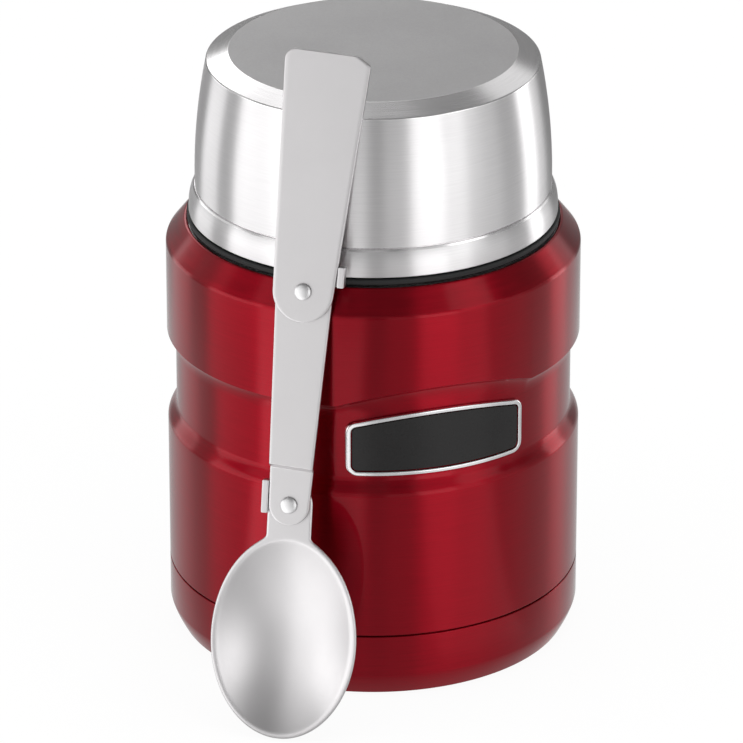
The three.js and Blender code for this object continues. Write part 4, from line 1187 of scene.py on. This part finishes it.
class FOOD_JAR_OT_studio(bpy.types.Operator):
    """Make the floor, the light, the panels that the metal mirrors, and the camera"""

    bl_idname = "food_jar.studio"
    bl_label = "Studio"

    def execute(self, context):
        settings = context.scene.food_jar_studio
        self.world(context.scene, settings)
        self.floor()
        self.panels(settings)
        self.lamps(settings)
        self.camera(context.scene, settings)
        context.scene.view_settings.view_transform = "Standard"
        return {"FINISHED"}

    def seen(self, nodes):
        """1 for rays from the camera and for mirrored or refracted ones, so that metal shows the room."""
        rays = nodes.node("LightPath").outputs
        bounced = nodes.maths("MAXIMUM", rays["Is Glossy Ray"], rays["Is Transmission Ray"])
        return nodes.maths("MAXIMUM", rays["Is Camera Ray"], bounced)

    def world(self, scene, settings):
        """White where it is seen, and the fill's level as light."""
        scene.world = bpy.data.worlds.new("studio_room")
        nodes = Nodes(scene.world)
        strength = nodes.ranged(self.seen(nodes), 0.0, 1.0, settings.fill, 1.0)
        nodes.surface(nodes.node("Background", {"Color": (1, 1, 1), "Strength": strength}), "OutputWorld")

    def floor(self):
        """White paper that keeps the jar's shadow. Where it is seen, most of its white is a glow."""
        material = bpy.data.materials.new("white_floor")
        nodes = Nodes(material)
        paper = nodes.node("BsdfDiffuse", {"Color": (0.9, 0.9, 0.9)}).outputs[0]
        glow = nodes.node("Emission", {"Color": (1, 1, 1), "Strength": 1.0}).outputs[0]
        factor = nodes.maths("MULTIPLY", self.seen(nodes), FLOOR_GLOW)
        nodes.surface(nodes.node("MixShader", {0: factor, 1: paper, 2: glow}))
        half, drop, count = 3, 0.2 * MM, 9
        side = np.linspace(-half, half, count)
        x, y = np.meshgrid(side, side)
        points = np.stack([x, y, np.full_like(x, -drop)], axis=-1).reshape(-1, 3)
        corner = (np.arange(count - 1)[:, None] * count + np.arange(count - 1)).ravel()
        faces = np.stack([corner, corner + 1, corner + count + 1, corner + count], axis=1)
        mesh = bpy.data.meshes.new("studio_floor")
        mesh.from_pydata(points, [], faces.tolist())
        mesh.materials.append(material)
        new_object("studio_floor", mesh)

    def panels(self, settings):
        """Light panels round the jar, which only its shiny surfaces see.

        The surface is drawn by bearing and elevation from a point on the axis. Its distance is the least of
        the floor h / sin(-e), the wall w / cos(e) and a dome, so it lies on the floor near the jar. Its light
        is the room's level plus every panel's level times a soft box in bearing and one in elevation.
        """
        eye, wall, dome = 0.05, 0.7, 1.0  # the point's height, and how far off the wall and the dome are
        lifted, soft = 0.1 * MM, 6  # gap over the floor, and the panels' upper and lower edges in degrees
        bearing = np.radians(np.arange(-180, 180, 1.5))
        rise = np.concatenate([np.linspace(-90, -42, 17), np.linspace(-41, 62, 138), np.linspace(65, 90, 9)])
        rise = np.radians(rise)[:, None]
        floor = np.where(rise < 0, (eye + lifted) / np.sin(np.maximum(-rise, 1e-4)), dome)
        away = np.minimum(np.minimum(floor, wall / np.maximum(np.cos(rise), 1e-6)), dome)
        grid = around(away * np.cos(rise), bearing + settings.bearing, eye + away * np.sin(rise))
        grid[[0, -1], :, :2] = 0
        level = ROOM_LEVEL
        for _, low, high, edge, span, strength in PANELS:
            beside = soft_box(np.degrees(bearing), low, high, edge)
            level = level + strength * beside * soft_box(np.degrees(rise), *span, soft)
        tent = skin("studio_panels", (grid, False, True))
        light = tent.data.attributes.new("panel_light", "FLOAT", "POINT")
        _, order = np.unique(np.round(grid.reshape(-1, 3), 8), axis=0, return_index=True)
        light.data.foreach_set("value", level.ravel()[order].astype(np.float32))
        material = bpy.data.materials.new("panel_light")
        nodes = Nodes(material)
        strength = nodes.node("Attribute", attribute_name="panel_light").outputs["Fac"]
        nodes.surface(nodes.node("Emission", {"Color": (1, 1, 1), "Strength": strength}))
        tent.data.materials.append(material)
        tent.visible_camera = False
        tent.visible_diffuse = False
        tent.visible_shadow = False

    def lamps(self, settings):
        """One broad lamp above and one from each side, so that no side of the jar is left unlit."""
        distance, aim = 1.1, 0.07
        for name, bearing, elevation, size, power in LAMPS:
            light = bpy.data.lights.new(name, "AREA")
            light.shape = "DISK"
            light.size = size
            light.energy = settings.key * power
            lamp = new_object(name, light)
            turn, up = settings.bearing + math.radians(bearing), math.radians(elevation)
            away = Vector((math.cos(up) * math.sin(turn), -math.cos(up) * math.cos(turn), math.sin(up)))
            lamp.location = away * distance + Vector((0, 0, aim))
            lamp.rotation_euler = away.to_track_quat("Z", "Y").to_euler()
            lamp.visible_glossy = False

    def camera(self, scene, settings):
        """The camera stands where the photograph was taken from."""
        data = bpy.data.cameras.new("jar_camera")
        data.lens = settings.lens
        data.sensor_width = 36
        data.clip_start = 0.05
        data.clip_end = 20
        camera = new_object("jar_camera", data)
        right, back, rise = -0.00041, 1.2565, 0.6224  # from the middle of the jar's foot
        turn = settings.bearing
        camera.location = (right * math.cos(turn) + back * math.sin(turn),
                           right * math.sin(turn) - back * math.cos(turn), rise)
        camera.rotation_euler = (math.pi / 2 - settings.tilt, 0, turn)
        scene.camera = camera


class FOOD_JAR_PT_panel(bpy.types.Panel):
    """Lists the jar's pieces and their sizes in the sidebar"""

    bl_label = "Food jar"
    bl_idname = "FOOD_JAR_PT_panel"
    bl_space_type = "VIEW_3D"
    bl_region_type = "UI"
    bl_category = "Food jar"

    def draw(self, context):
        for operator, group in STEPS:
            box = self.layout.box()
            box.operator(operator.bl_idname)
            if group:
                self.list_settings(box, getattr(context.scene, group))
        box = self.layout.box()
        box.label(text="Finishes")
        self.list_settings(box, context.scene.food_jar_finishes)

    def list_settings(self, box, settings):
        for name in settings.bl_rna.properties.keys():
            if name not in {"rna_type", "name"}:
                box.prop(settings, name)


STEPS = (
    (FOOD_JAR_OT_body, "food_jar_body"),
    (FOOD_JAR_OT_vessel, None),
    (FOOD_JAR_OT_badge, "food_jar_badge"),
    (FOOD_JAR_OT_stopper, None),
    (FOOD_JAR_OT_cup, "food_jar_cup"),
    (FOOD_JAR_OT_spoon, "food_jar_spoon"),
    (FOOD_JAR_OT_studio, "food_jar_studio"),
)

GROUPS = {
    "food_jar_body": JarSizes,
    "food_jar_badge": BadgeSizes,
    "food_jar_cup": CupSizes,
    "food_jar_spoon": SpoonSizes,
    "food_jar_finishes": Finishes,
    "food_jar_studio": StudioSettings,
}

CLASSES = (*GROUPS.values(), *(operator for operator, _ in STEPS), FOOD_JAR_PT_panel)


def register():
    for cls in CLASSES:
        bpy.utils.register_class(cls)
    for name, group in GROUPS.items():
        setattr(bpy.types.Scene, name, PointerProperty(type=group))


def unregister():
    for name in GROUPS:
        delattr(bpy.types.Scene, name)
    for cls in reversed(CLASSES):
        bpy.utils.unregister_class(cls)


def main():
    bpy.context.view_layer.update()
    register()
    for operator, _ in STEPS:
        group, name = operator.bl_idname.split(".")
        getattr(getattr(bpy.ops, group), name)()


if __name__ == "__main__":
    main()
